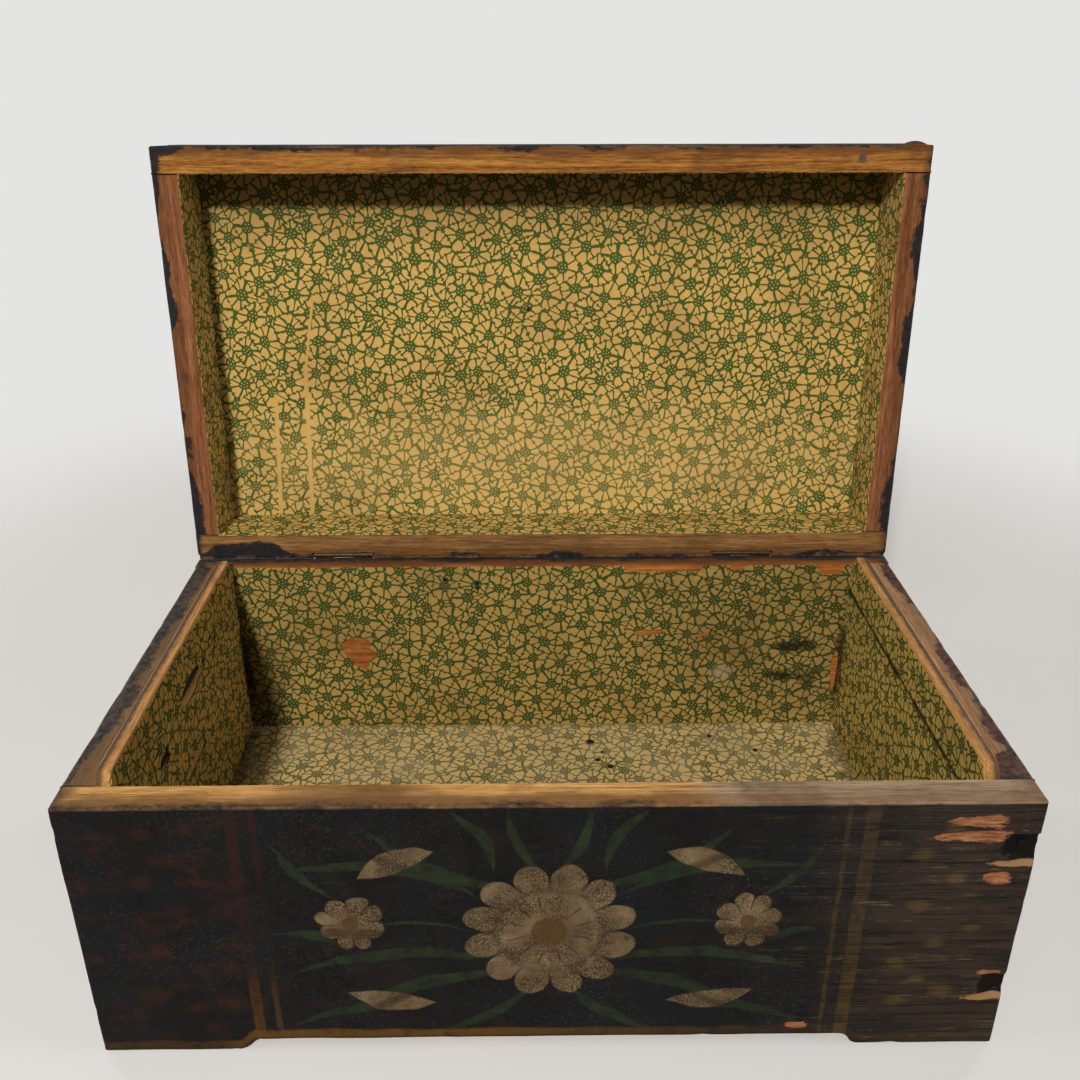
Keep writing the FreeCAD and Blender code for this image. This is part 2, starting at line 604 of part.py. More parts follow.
def add_lid_stile(label, x, outer_x):
    """A short side of the lid's frame, between the rails, with a shrunken joint at its back end."""
    body = new_body(label)
    outline = new_sketch(body, "outline", "XY")
    draw_rectangle(outline, "lid_wall", STILE_LENGTH)
    extrude(body, outline, "lid_inner_depth")
    centres = [("lid_wall / 2", z) for z in FRAME_NAIL_HEIGHTS]
    draw_nail_holes(body, "front", "XZ", centres, "nail_length - lid_wall")
    draw_nail_holes(body, "back", "XZ", centres, "nail_length - lid_wall - stile_gap", f"-{STILE_LENGTH}", True)
    from_top = [("lid_wall / 2", y) for y in STILE_NAIL_PLACES]
    draw_nail_holes(body, "panel", "XY", from_top, "panel_nail_length - panel_thickness", "lid_inner_depth")
    outer = worth(outer_x)

    def rim_arris(edge):
        spot = middle_of(edge)
        return near(spot.x, outer) and near(spot.z, 0) and runs_along(edge, "y")

    round_edges(body, "arris_radius", rim_arris)
    place(body, x, f"({FRONT_FACE} + lid_wall)", RIM, on_lid=True)


def add_lid_panel():
    body = new_body("lid_top_panel")
    outline = new_sketch(body, "outline", "XY")
    draw_rectangle(outline, "box_length", "box_depth")
    extrude(body, outline, "panel_thickness")
    draw_nail_holes(body, "frame", "XY", PANEL_NAILS, "panel_thickness", "panel_thickness", head=True)
    length, depth, top = worth("box_length"), worth("box_depth"), worth("panel_thickness")

    def outer_edge(edge):
        spot = middle_of(edge)
        around = near(spot.x, 0) or near(spot.x, length) or near(spot.y, 0) or near(spot.y, depth)
        return around and near(spot.z, top)

    round_edges(body, "panel_round", outer_edge)
    place(body, LEFT_END, FRONT_FACE, LID_CEILING, on_lid=True)


def add_lid_papers():
    left, front = f"({LEFT_END} + lid_wall)", f"({FRONT_FACE} + lid_wall)"
    right, back = "(box_length / 2 - lid_wall)", f"({BACK_FACE} - lid_wall)"
    bottom = f"({RIM} + paper_margin)"
    height = "(lid_inner_depth - paper_margin)"
    thick = "paper_thickness"
    add_paper("lid_front_paper", left, front, bottom, LID_INNER_LENGTH, thick, height, True)
    add_paper("lid_back_paper", left, f"({back} - {thick})", bottom, LID_INNER_LENGTH, thick, height, True)
    between = f"({LID_INNER_DEPTH} - 2 * {thick})"
    add_paper("lid_left_paper", left, f"({front} + {thick})", bottom, thick, between, height, True)
    add_paper("lid_right_paper", f"({right} - {thick})", f"({front} + {thick})", bottom, thick, between, height,
              True)
    add_paper("lid_top_paper", f"({left} + {thick})", f"({front} + {thick})", f"({LID_CEILING} - {thick})",
              f"({LID_INNER_LENGTH} - 2 * {thick})", between, thick, True)


# Nails
def add_all_nails():
    front = add_nails("front_nails", "XZ", CORNER_NAILS, "nail_length", backwards=True)
    place(front, LEFT_END, FRONT_FACE, "0")
    back = add_nails("back_nails", "XZ", CORNER_NAILS, "nail_length", backwards=False)
    place(back, LEFT_END, BACK_FACE, "0")
    frame = new_body("lid_frame_nails")
    for end, out, inward in (("front", "0", True), ("back", "-box_depth", False)):
        for part, size, length in (("heads", "nail_head_half_width", "nail_head_thickness"),
                                   ("shanks", "nail_half_width", "nail_length")):
            sketch = new_sketch(frame, f"{end}_{part}", "XZ", out=out)
            draw_squares(sketch, FRAME_NAILS, size)
            extrude(frame, sketch, length, inward)
    place(frame, LEFT_END, FRONT_FACE, RIM, on_lid=True)
    panel = add_nails("lid_panel_nails", "XY", PANEL_NAILS, "panel_nail_length", backwards=True)
    place(panel, LEFT_END, FRONT_FACE, f"({LID_CEILING} + panel_thickness)", on_lid=True)
    rim = add_nails("lid_rim_nail", "XY", RIM_NAIL, "rim_nail_length", backwards=False, kind=WIRE_NAIL)
    place(rim, LEFT_END, FRONT_FACE, RIM, on_lid=True)


# Hinges: two knuckles on the box leaf, one between them on the lid leaf
def screw_places():
    """Places of the hinge screws along the box, two in each leaf."""
    ends = ("screw_margin", "hinge_length - screw_margin")
    return [f"({start} + {end})" for start in HINGE_STARTS for end in ends]


def add_hinge_leaf(label, x, below, leaf_height, kept_knuckles, on_lid):
    """A leaf drawn round the hinge axis: a plate and a barrel, with gaps for the other leaf's knuckles."""
    body = new_body(label)
    plate = new_sketch(body, "plate", "XZ", up=f"-{leaf_height}" if below else "0", out="-axis_inset")
    draw_rectangle(plate, "hinge_length", leaf_height)
    extrude(body, plate, "leaf_thickness")
    barrel = new_sketch(body, "barrel", "YZ")
    draw_circles(barrel, [("0", "0")], "barrel_radius")
    extrude(body, barrel, "hinge_length")
    knuckle = f"hinge_length / {KNUCKLE_COUNT}"
    for i in range(KNUCKLE_COUNT):
        if i not in kept_knuckles:
            gap = new_sketch(body, f"gap_{i}", "XZ", f"{i} * {knuckle} - knuckle_gap / 2", f"-{BARREL_ROOM}")
            draw_rectangle(gap, f"{knuckle} + knuckle_gap", f"2 * {BARREL_ROOM}")
            cut(body, gap)
    bore = new_sketch(body, "bore", "YZ")
    draw_circles(bore, [("0", "0")], "pin_radius + pin_clearance")
    cut(body, bore)
    height = "(leaf_reach - screw_drop)" if below else "(screw_drop - axis_rise + lid_seat_gap)"
    holes = new_sketch(body, "screw_holes", "XZ", up=f"-{leaf_height}" if below else "0", out="-axis_inset")
    draw_circles(holes, [(end, height) for end in ("screw_margin", "(hinge_length - screw_margin)")],
                 "screw_radius + nail_clearance")
    cut(body, holes)
    place(body, x, AXIS_Y, AXIS_Z, on_lid)


def add_hinge(side, x):
    add_hinge_leaf(f"{side}_hinge_box_leaf", x, True, "(leaf_reach + axis_rise)", (0, 2), False)
    add_hinge_leaf(f"{side}_hinge_lid_leaf", x, False, "(leaf_reach - axis_rise + lid_seat_gap)", (1,), True)
    pin = new_body(f"{side}_hinge_pin")
    profile = new_sketch(pin, "section", "YZ")
    draw_circles(profile, [("0", "0")], "pin_radius")
    extrude(pin, profile, "hinge_length + 2 * pin_overhang")
    place(pin, f"{x} - pin_overhang", AXIS_Y, AXIS_Z)


def add_hinge_screws(label, height, z, on_lid):
    """Round-headed screws through the leaves into the board behind them."""
    body = new_body(label)
    centres = [(f"{place_along} + box_length / 2", height) for place_along in screw_places()]
    heads = new_sketch(body, "heads", "XZ")
    draw_circles(heads, centres, "screw_head_radius")
    extrude(body, heads, "screw_head_thickness", backwards=True)
    shanks = new_sketch(body, "shanks", "XZ")
    draw_circles(shanks, centres, "screw_radius")
    extrude(body, shanks, "screw_length")
    place(body, LEFT_END, BACK_FACE, z, on_lid)


add_front_board()
add_back_board()
add_side_board("left_side_board", LEFT_END, "wall_thickness", False, "0")
add_side_board("right_side_board", INNER_RIGHT, "0", True, "wall_thickness")
add_bottom_board()
add_liner("left", INNER_LEFT, "left_joint_height", "left_joint_gap")
add_liner("right", LINED_RIGHT, "right_joint_height", "right_joint_gap")
add_wall_papers()
add_liner_papers("left", LINED_LEFT, "left_joint_height", "left_joint_gap")
add_liner_papers("right", f"({LINED_RIGHT} - paper_thickness)", "right_joint_height", "right_joint_gap")
add_front_rail()
add_back_rail()
add_lid_stile("lid_left_stile", LEFT_END, "0")
add_lid_stile("lid_right_stile", "(box_length / 2 - lid_wall)", "lid_wall")
add_lid_panel()
add_lid_papers()
add_all_nails()
for hinge_side, hinge_start in zip(("left", "right"), HINGE_STARTS):
    add_hinge(hinge_side, hinge_start)
add_hinge_screws("box_hinge_screws", "box_height - screw_drop", "0", False)
add_hinge_screws("lid_hinge_screws", "screw_drop", RIM, True)
doc.recompute()

failed = [o.Label for o in doc.Objects if {"Invalid", "Error"} & set(o.State)]
bad = [p.Label for p in sub_parts if p.Shape.isNull() or not p.Shape.isValid() or not p.Shape.Solids]
if failed or bad:
    raise RuntimeError(f"failed objects {failed}, bad shapes {bad}")

os.makedirs("parts", exist_ok=True)
for piece in sub_parts:
    piece.Shape.exportStep(f"parts/{piece.Label}.step")
print(f"{len(sub_parts)} sub-parts, {sum(len(p.Shape.Solids) for p in sub_parts)} solids")
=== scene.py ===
"""Looks of the document box: worn painted boards, torn lining paper, nails and hinges, studio and camera.

Building code and materials work in millimetres of the closed box. The frame is in metres.
"""
import json
import math
from types import SimpleNamespace

import bmesh
import bpy
import numpy as np
from mathutils import Matrix, Vector, geometry, noise

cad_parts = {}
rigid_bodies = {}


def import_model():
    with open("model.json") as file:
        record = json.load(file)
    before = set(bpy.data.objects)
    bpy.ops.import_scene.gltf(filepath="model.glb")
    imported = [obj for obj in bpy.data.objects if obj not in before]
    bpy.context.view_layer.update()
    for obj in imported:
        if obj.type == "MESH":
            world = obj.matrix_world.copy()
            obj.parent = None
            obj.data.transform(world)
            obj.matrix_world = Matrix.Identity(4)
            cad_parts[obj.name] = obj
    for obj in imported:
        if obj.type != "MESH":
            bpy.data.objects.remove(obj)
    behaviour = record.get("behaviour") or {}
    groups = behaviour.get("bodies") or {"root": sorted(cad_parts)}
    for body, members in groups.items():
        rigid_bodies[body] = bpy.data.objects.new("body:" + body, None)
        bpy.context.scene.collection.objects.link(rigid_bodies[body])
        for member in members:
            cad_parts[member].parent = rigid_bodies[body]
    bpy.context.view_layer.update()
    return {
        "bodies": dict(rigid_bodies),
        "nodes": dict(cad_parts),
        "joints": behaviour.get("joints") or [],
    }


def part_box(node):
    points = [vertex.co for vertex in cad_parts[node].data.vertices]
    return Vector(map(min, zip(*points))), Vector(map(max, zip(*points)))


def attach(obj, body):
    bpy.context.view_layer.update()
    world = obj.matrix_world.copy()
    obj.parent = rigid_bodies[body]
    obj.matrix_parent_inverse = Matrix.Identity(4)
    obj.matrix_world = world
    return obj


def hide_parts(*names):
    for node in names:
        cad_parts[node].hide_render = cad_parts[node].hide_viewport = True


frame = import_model()

MM = 0.001
SCENE = bpy.context.scene
LID_JOINT = frame["joints"][0]
PIVOT = Vector(LID_JOINT["pos_m"])
SWING = math.radians(LID_JOINT["range_deg"][1])
OPENED = Matrix.Translation(PIVOT) @ Matrix.Rotation(-SWING, 4, "X") @ Matrix.Translation(-PIVOT)


def swings(node):
    """Whether a CAD node swings with the lid."""
    return frame["nodes"][node].parent == frame["bodies"]["lid"]


def closed_box(node):
    """Lowest and highest corner of a CAD node, in millimetres of the closed box."""
    closing = OPENED.inverted() if swings(node) else Matrix()
    points = [closing @ v.co / MM for v in frame["nodes"][node].data.vertices]
    return [tuple(round(end(p[i] for p in points), 2) for i in range(3)) for end in (min, max)]


# Sizes of the part in millimetres
FRONT_FACE = closed_box("front_board")[1][1]
(_, BACK_FACE, _), (HALF_LENGTH, HALF_DEPTH, WALL_TOP) = closed_box("back_board")
(_, _, RIM), (_, RAIL_FACE, _) = closed_box("lid_front_rail")
LID_TOP = closed_box("lid_top_panel")[1][2]
LEFT_JOINT, RIGHT_JOINT = 101.2, 113
FOOT_LENGTH, OGEE_RUN, FOOT_HEIGHT = 57.5, 9, 6
PAPER = 0.3


def srgb(code):
    """Linear colour of a six-digit hex code."""
    parts = [int(code[i:i + 2], 16) / 255 for i in (0, 2, 4)]
    return tuple(c / 12.92 if c <= 0.04045 else ((c + 0.055) / 1.055) ** 2.4 for c in parts) + (1,)


# Node graphs
class Value:
    """A socket of a material's graph that takes part in plain arithmetic."""

    def __init__(self, graph, socket):
        self.graph = graph
        self.socket = socket

    def __add__(self, other):
        return self.graph.math("ADD", self, other)

    def __sub__(self, other):
        return self.graph.math("SUBTRACT", self, other)

    def __rsub__(self, other):
        return self.graph.math("SUBTRACT", other, self)

    def __mul__(self, other):
        return self.graph.math("MULTIPLY", self, other)

    def __truediv__(self, other):
        return self.graph.math("DIVIDE", self, other)


class Graph:
    """The node graph of a new material, or of a world."""

    def __init__(self, name, world=None):
        self.owner = world or bpy.data.materials.new(name)
        self.owner.use_nodes = True
        self.tree = self.owner.node_tree
        self.tree.nodes.clear()

    def node(self, kind, inputs=None, output=0, **settings):
        made = self.tree.nodes.new(kind)
        for key, value in settings.items():
            setattr(made, key, value)
        for key, value in (inputs or {}).items():
            if isinstance(value, Value):
                self.tree.links.new(value.socket, made.inputs[key])
            else:
                made.inputs[key].default_value = srgb(value) if isinstance(value, str) else value
        return Value(self, made.outputs[output]) if made.outputs else made

    def outputs(self, value, *names):
        return [Value(self, value.socket.node.outputs[name]) for name in names]

    def math(self, operation, *values):
        return self.node("ShaderNodeMath", dict(enumerate(values)), operation=operation)

    def low(self, a, b):
        return self.math("MINIMUM", a, b)

    def high(self, a, b):
        return self.math("MAXIMUM", a, b)

    def size(self, a):
        return self.math("ABSOLUTE", a)

    def length(self, a, b):
        return self.math("SQRT", a * a + b * b)

    def step(self, start, end, value):
        """0 before start, 1 after end, smooth between; start may be above end."""
        if start > end:
            return 1 - self.step(end, start, value)
        return self.node("ShaderNodeMapRange", {"Value": value, "From Min": start, "From Max": end},
                         interpolation_type="SMOOTHSTEP")

    def vector(self, x=0, y=0, z=0):
        return self.node("ShaderNodeCombineXYZ", {"X": x, "Y": y, "Z": z})

    def split(self, vector):
        return self.outputs(self.node("ShaderNodeSeparateXYZ", {0: vector}), "X", "Y", "Z")

    def noise(self, vector, scale, detail=2, rough=0.5, distortion=0, output=0):
        return self.node("ShaderNodeTexNoise", {
            "Vector": vector, "Scale": scale, "Detail": detail, "Roughness": rough,
            "Distortion": distortion}, output)

    def voronoi(self, vector, scale, feature="F1", flat=False, random=1):
        return self.node("ShaderNodeTexVoronoi", {"Vector": vector, "Scale": scale, "Randomness": random},
                         feature=feature, voronoi_dimensions="2D" if flat else "3D")

    def vector_math(self, operation, a, b):
        return self.node("ShaderNodeVectorMath", {0: a, 1: b}, operation=operation)

    def scale(self, vector, factor):
        return self.node("ShaderNodeVectorMath", {0: vector, "Scale": factor}, operation="SCALE")

    def mix(self, factor, a, b):
        return self.node("ShaderNodeMix", {0: factor, 6: a, 7: b}, 2, data_type="RGBA")

    def ramp(self, factor, *stops):
        made = self.node("ShaderNodeValToRGB", {"Fac": factor})
        elements = made.socket.node.color_ramp.elements
        while len(elements) < len(stops):
            elements.new(0.5)
        for element, (place, code) in zip(elements, stops):
            element.position = place
            element.color = srgb(code)
        return made

    def shown(self):
        """1 for rays that show the ground to the camera, straight, off gloss or through glass."""
        straight = self.node("ShaderNodeLightPath", output="Is Camera Ray")
        glossy, through = self.outputs(straight, "Is Glossy Ray", "Is Transmission Ray")
        return self.high(straight, self.high(glossy, through))

    def millimetres(self, on_lid):
        """Coordinates of the closed box, as a vector and as its three parts."""
        place = self.node("ShaderNodeTexCoord", output="Object")
        if on_lid:
            place = self.node("ShaderNodeVectorRotate", {"Vector": place, "Center": PIVOT, "Angle": SWING},
                              rotation_type="X_AXIS")
        place = self.scale(place, 1 / MM)
        return (place, *self.split(place))

    def finish(self, colour, roughness, height, depth, specular=0.2, metallic=0):
        """The surface shader, with bump of a height signal over a depth in millimetres."""
        bump = self.node("ShaderNodeBump", {"Height": height, "Distance": depth * MM, "Strength": 1})
        shader = self.node("ShaderNodeBsdfPrincipled", {
            "Base Color": colour, "Roughness": roughness, "Normal": bump,
            "Specular IOR Level": specular, "Metallic": metallic})
        self.node("ShaderNodeOutputMaterial", {"Surface": shader})
        return self.owner


# Wood and paint: places and colours of the grain from dark to light
GRAIN_STEPS = 0.34, 0.45, 0.55, 0.68
GOLDEN = "70502a", "a4783f", "c19359", "d8b37b"
RAIL_BROWN = "452710", "77491f", "97672f", "b58344"
BACK_RAIL = "452e18", "6d4d2c", "886338", "a27d50"
STILE_RED = "412718", "674027", "805234", "9b7049"
RIM_TAN = "775638", "98714a", "b0865c", "c8a176"
RIM_BROWN = "4a3622", "6a4e31", "7e5f3d", "99774f"
LINER_TAN = "7a4f28", "9d6f3c", "b3844d", "c99f69"
GREY_BROWN = "5d4c3b", "84705a", "9c876c", "b5a189"
HIDDEN_BROWN = "4f321d", "704a29", "875c34", "9d7145"
INNER_ORANGE = "663617", "8e5224", "a76730", "bf8144"
OPEN_JOINT, LID_COAT = "0d0906", "2a2a2e"


def grain_space(g, x, y, z, axis, slow=0.045):
    """Coordinates squeezed along the grain, so that noise in them looks drawn out."""
    return g.vector(*(value * slow if name == axis else value for name, value in zip("xyz", (x, y, z))))


def wood(g, x, y, z, axis, tones):
    """Colour and relief of bare wood with its grain along an axis."""
    rings = g.noise(grain_space(g, x, y, z, axis), 0.3, 4, 0.6, 1.4)
    pores = g.noise(grain_space(g, x, y, z, axis, 0.1), 1.3, 4, 0.75)
    tone = rings * 0.5 + pores * 0.5
    colour = g.ramp(tone, *zip(GRAIN_STEPS, tones))
    stain = g.noise(g.vector(x, y, z), 0.035, 4, 0.6)
    colour = g.mix(g.step(0.48, 0.74, stain) * 0.5, colour, "3f2716")
    cracks = g.step(0.63, 0.72, g.noise(grain_space(g, x, y, z, axis, 0.02), 0.75, 3, 0.6))
    return g.mix(cracks * 0.6, colour, "2c1a0e"), tone - cracks * 0.5


def paint(g, x, y, z, axis):
    """Colour and relief of old near-black paint with faint brown mottling, specks and grey scuffs."""
    place = g.vector(x, y, z)
    mottle = g.noise(place, 0.05, 5, 0.65, 0.6)
    colour = g.ramp(mottle, (0.32, "0d0e0e"), (0.5, "141413"), (0.64, "1c1815"), (0.78, "281c17"))
    bluish = g.step(0.42, 0.62, g.noise(place, 0.024, 3)) * 0.75
    colour = g.mix(bluish, colour, "131619")
    weave = g.noise(place, 1, 5, 0.85)
    dusty = g.step(0.35, 0.65, g.noise(place, 0.028, 4, 0.6)) * 0.45 + 0.15
    colour = g.mix(g.step(0.52, 0.68, weave) * dusty, colour, "4a443d")
    scuff = g.step(0.6, 0.8, g.noise(grain_space(g, x, y, z, axis), 0.5, 4, 0.7))
    scuff = scuff * g.step(0.45, 0.66, g.noise(place, 0.035, 3))
    colour = g.mix(scuff * 0.4, colour, "4a4541")
    return colour, weave * 0.4 + mottle * 0.6


def rosette(g, u, v, radius, petals, turn):
    """Mask of a flower with blunt petals, distance from its middle, and closeness to a petal's middle."""
    reach = g.length(u, v)
    angle = g.math("ARCTAN2", v, u)
    lobe = g.size(g.math("SINE", angle * (petals / 2) + turn))
    edge = (g.math("POWER", lobe, 0.5) * 0.3 + 0.7) * radius
    return g.step(0.6, -0.6, reach - edge), reach, lobe


def beside_line(u, v, start, end):
    """Distances along and beside a line between two points, and its length."""
    run, rise = end[0] - start[0], end[1] - start[1]
    span = math.hypot(run, rise)
    run, rise, u, v = run / span, rise / span, u - start[0], v - start[1]
    return u * run + v * rise, v * run - u * rise, span


def leaf(g, u, v, start, end, width, bend):
    """Mask of a bent leaf that is pointed at both ends."""
    along, aside, span = beside_line(u, v, start, end)
    along = along / span
    swell = along * (1 - along) * 4
    return g.step(-0.5, 0.5, swell * width / 2 - g.size(aside - swell * bend))


# Leaves, stems and buds of one half of the front's spray: start, end, width, bend
BLADES = (
    ((14, 44), (88, 20), 6.5, 6), ((18, 50), (106, 44), 5.5, 8), ((16, 90), (70, 118), 6, -7),
    ((26, 84), (104, 98), 5, 8), ((8, 36), (44, 12), 5, -4), ((22, 98), (38, 127), 5, 4),
    ((60, 24), (108, 14), 4, 4), ((84, 84), (108, 112), 4, -3), ((30, 66), (70, 70), 1.8, 3),
    ((4, 98), (16, 128), 4.5, -3), ((86, 58), (109, 66), 4, 3),
)
BUDS = (((46, 107), (76, 94), 11, 2), ((48, 27), (84, 33), 10, -2))
# The spray's large flower with two rings of petals, and the small one beside it: radius, petals, turn
FLOWER_HEIGHT, OUTER_RING, INNER_RING = 66, (35, 12, 0), (22, 12, math.pi / 2)
SMALL_ASIDE, SMALL_HEIGHT, SMALL_RING = 80, 71, (14, 8, 0.4)
# Faint blots near both ends of the front: distance from the middle, height, radius
BLOTS = ((142, 47, 4.4), (163, 31, 4.6), (152, 38, 3.4), (157, 58, 3.8), (145, 26, 4),
         (170, 66, 3), (148, 78, 4.2), (160, 92, 4), (146, 104, 4.4), (156, 117, 3.6))

# Places on the front where paint or wood is broken out: left, right, bottom, top, depth, look
FACE_CHIPS = (
    (149, 178, 109.8, 115.4, 0.9, "fresh"), (154, 175, 117, 122.8, 0.7, "fresh"),
    (171, 181.5, 88.6, 95, 0.8, "fresh"), (100, 109, 10.4, 14, 0.7, "fresh"),
    (176, 194, 100.6, 113.4, 2.4, "dark"), (173.5, 194, 97.4, 100.4, 1, "pale"),
    (178.5, 194, 28.6, 40, 2.4, "dark"), (174.5, 193, 25.8, 28.8, 1, "pale"),
    (177, 187, 39.6, 42.4, 0.7, "fresh"),
)


def front_wear(g, x, z):
    """Noise and masks that the layers of the front's paint share."""
    flat = g.vector(x, 0, z)
    right = g.step(60, 130, x)
    fine = g.noise(grain_space(g, x, 0, z, "x", 0.03), 1.1, 4, 0.75)
    scratch = g.step(0.57, 0.66, fine) * g.step(0.35, 0.6, g.noise(flat, 0.035, 3)) * right
    threads = g.noise(grain_space(g, x, 0, z, "x", 0.02), 0.22, 4, 0.6)
    return SimpleNamespace(
        flat=flat, right=right, scratch=scratch,
        wobble=g.noise(flat, 0.05, 2) - 0.5,
        rub=g.noise(flat, 0.11, 5, 0.75),
        crack=g.step(0.014, 0.004, g.size(threads - 0.47)) * (right * 0.85 + 0.1),
        sheen=g.step(0.012, 0.003, g.size(threads - 0.54)) * right)


def brown_haze(g, x, z, wear, colour):
    """Reddish strokes on the left of the front, and ageing on the right."""
    strokes = g.noise(g.vector(x * 0.04 + z * 0.03, 0, z * 0.075 - x * 0.02), 1, 4, 0.65, 0.3)
    left = g.step(-90, -140, x + wear.wobble * 40)
    reddish = g.step(0.46, 0.7, strokes) * (left * 0.75 + 0.08) * g.step(0.3, 0.7, wear.rub)
    colour = g.mix(reddish, colour, "3c2017")
    brown = g.noise(grain_space(g, x, 0, z, "x", 0.15), 0.12, 6, 0.75)
    aged = g.step(85, 165, x + wear.wobble * 60) * g.step(0.25, 0.75, brown)
    return g.mix(aged * 0.75, colour, "45382d")


def old_beige(g, flat):
    """Crackled beige of the flowers."""
    beige = g.ramp(g.noise(flat, 0.07, 4, 0.65), (0.3, "4f4130"), (0.5, "67563f"), (0.7, "7f6e54"))
    crackle = g.voronoi(flat, 0.75, "DISTANCE_TO_EDGE")
    cracks = g.step(0.2, 0.05, crackle) * g.step(0.3, 0.6, g.noise(flat, 0.06, 3))
    return g.mix(cracks * 0.75, beige, "241c14")


def spray(g, x, z, wear, colour):
    """A plain folk spray with two like halves: green leaves under beige flowers and buds."""
    u, v = g.size(x + wear.wobble * 6), z + wear.wobble * 5
    green = leaf(g, u, v, *BLADES[0])
    for blade in BLADES[1:]:
        green = g.high(green, leaf(g, u, v, *blade))
    leaf_green = g.mix(wear.rub, "182116", "2c3823")
    colour = g.mix(green * (g.step(0.3, 0.62, wear.rub) * 0.65 + 0.25), colour, leaf_green)

    outer, reach, outer_lobe = rosette(g, u, v - FLOWER_HEIGHT, *OUTER_RING)
    inner, _, inner_lobe = rosette(g, u, v - FLOWER_HEIGHT, *INNER_RING)
    small, small_reach, small_lobe = rosette(g, u - SMALL_ASIDE, v - SMALL_HEIGHT, *SMALL_RING)
    pale = g.high(outer, small)
    for bud in BUDS:
        pale = g.high(pale, leaf(g, u, v, *bud))
    rim = g.step(0.28, 0.06, outer_lobe) * g.step(20, 24, reach)
    rim = g.high(rim, g.step(0.3, 0.08, inner_lobe) * inner * g.step(9, 12, reach))
    rim = g.high(rim, outer * g.step(2.4, 0, g.size(reach - 21.5)) * 0.6)
    rim = g.high(rim, g.step(0.3, 0.1, small_lobe) * g.step(4.5, 6.5, small_reach) * small)
    beige = g.mix(rim * 0.62, old_beige(g, wear.flat), "2c2218")
    hearts = g.high(g.step(8, 7, reach), g.step(3.6, 3, small_reach))
    beige = g.mix(hearts * 0.8, beige, "49341b")
    kept = (1 - wear.scratch * 0.85) * (g.step(0.22, 0.4, wear.rub) * 0.5 + 0.5)
    return g.mix(pale * kept, colour, beige)


def border_lines(g, x, z, wear, colour):
    """Two worn upright lines near each end of the front, and a band along its lower edge."""
    streaks = g.noise(grain_space(g, x, 0, z, "x", 0.12), 0.2, 5, 0.7)
    broken = g.step(0.3, 0.52, wear.rub) * (1 - wear.right * g.step(0.44, 0.6, streaks) * 0.8)
    warm = g.mix(g.step(60, 15, z), "321a15", "563a1b")
    olive = g.mix(g.step(20, 120, z), "4a3a1c", "3e3322")
    faded = 1 - g.step(34, 50, z) * g.step(104, 84, z) * 0.7
    borders = ((-122, 4.4, warm, faded * 0.6), (-113.6, 2.4, warm, faded * 0.45),
               (123.6, 5.6, olive, 0.8), (114.6, 1.8, olive, 0.7))
    for middle, width, tint, share in borders:
        line = g.step(width / 2 + 0.5, width / 2 - 0.5, g.size(x + wear.wobble * 1.5 - middle))
        colour = g.mix(line * (broken * 0.85 + 0.15) * share, colour, tint)
    lower = z - g.step(FOOT_LENGTH, FOOT_LENGTH + OGEE_RUN, HALF_LENGTH - g.size(x)) * FOOT_HEIGHT
    band = g.step(6.8, 4.8, lower + wear.wobble * 3) * (broken * 0.75 + 0.25)
    band = band * (g.step(130, -60, x) * 0.7 + 0.15) * (g.step(-150, -120, x) * 0.65 + 0.35)
    # The band darkens towards the lower edge of the board: painted shade along the bottom.
    return g.mix(band, colour, g.mix(g.step(0, 3, lower), "2a1d10", "5c411b"))


def front_design(g, x, z, colour):
    """The front's paint: haze, spray and border lines, then faint blots, scratches and long cracks."""
    wear = front_wear(g, x, z)
    for layer in (brown_haze, spray, border_lines):
        colour = layer(g, x, z, wear, colour)
    tint = g.mix(g.step(-20, 20, x), "4a2318", "5d4a24")
    for aside, height, radius in BLOTS:
        spot = g.length(g.size(x) - aside, (z - height) * 1.4) - radius + (wear.rub - 0.5) * 11
        share = g.step(1.8, -1.8, spot) * (wear.right * 0.32 + 0.22) * (wear.rub * 0.8 + 0.3)
        colour = g.mix(share, colour, tint)
    colour = g.mix(wear.scratch * 0.26, colour, "54463a")
    colour = g.mix(wear.sheen * g.step(0.45, 0.6, wear.rub) * 0.55, colour, "6d5c49")
    return g.mix(wear.crack * 0.8, colour, "0c0a09")


def chip_masks(g, x, z, look):
    """Where the front is broken out in one of the ways of FACE_CHIPS."""
    ragged = g.noise(g.vector(x * 0.3, 0, z), 0.4, 5, 0.8) - 0.5
    found = None
    for left, right, bottom, top, _, kind in FACE_CHIPS:
        if kind != look:
            continue
        beside = g.size(x - (left + right) / 2) / ((right - left) / 2)
        above = g.size(z - (bottom + top) / 2) / ((top - bottom) / 2)
        if look == "fresh":
            above = above * g.step(right + 10, left - 10, x) * 0.9 + above * 0.7
        cubed = g.math("POWER", beside, 3) + g.math("POWER", above, 3)
        mask = g.step(1.12, 0.92, g.math("POWER", cubed, 1 / 3) + ragged * 1.9)
        found = g.high(found, mask) if found else mask
    return found


def front_chips(g, x, y, z, colour, relief):
    """Colour and relief of the front with its broken places."""
    near_face = g.step(7, 5, y + HALF_DEPTH)
    splinters = g.step(0.3, 0.7, g.noise(g.vector(x * 0.15, 0, z), 0.8, 4, 0.7))
    fresh = g.mix(splinters, "5c3524", "a8724d")
    for look, tint in (("fresh", fresh), ("dark", "120f0e"), ("pale", "8a6a47")):
        mask = chip_masks(g, x, z, look) * near_face
        colour = g.mix(mask, colour, tint)
        relief = relief - mask * 0.5
    return colour, relief


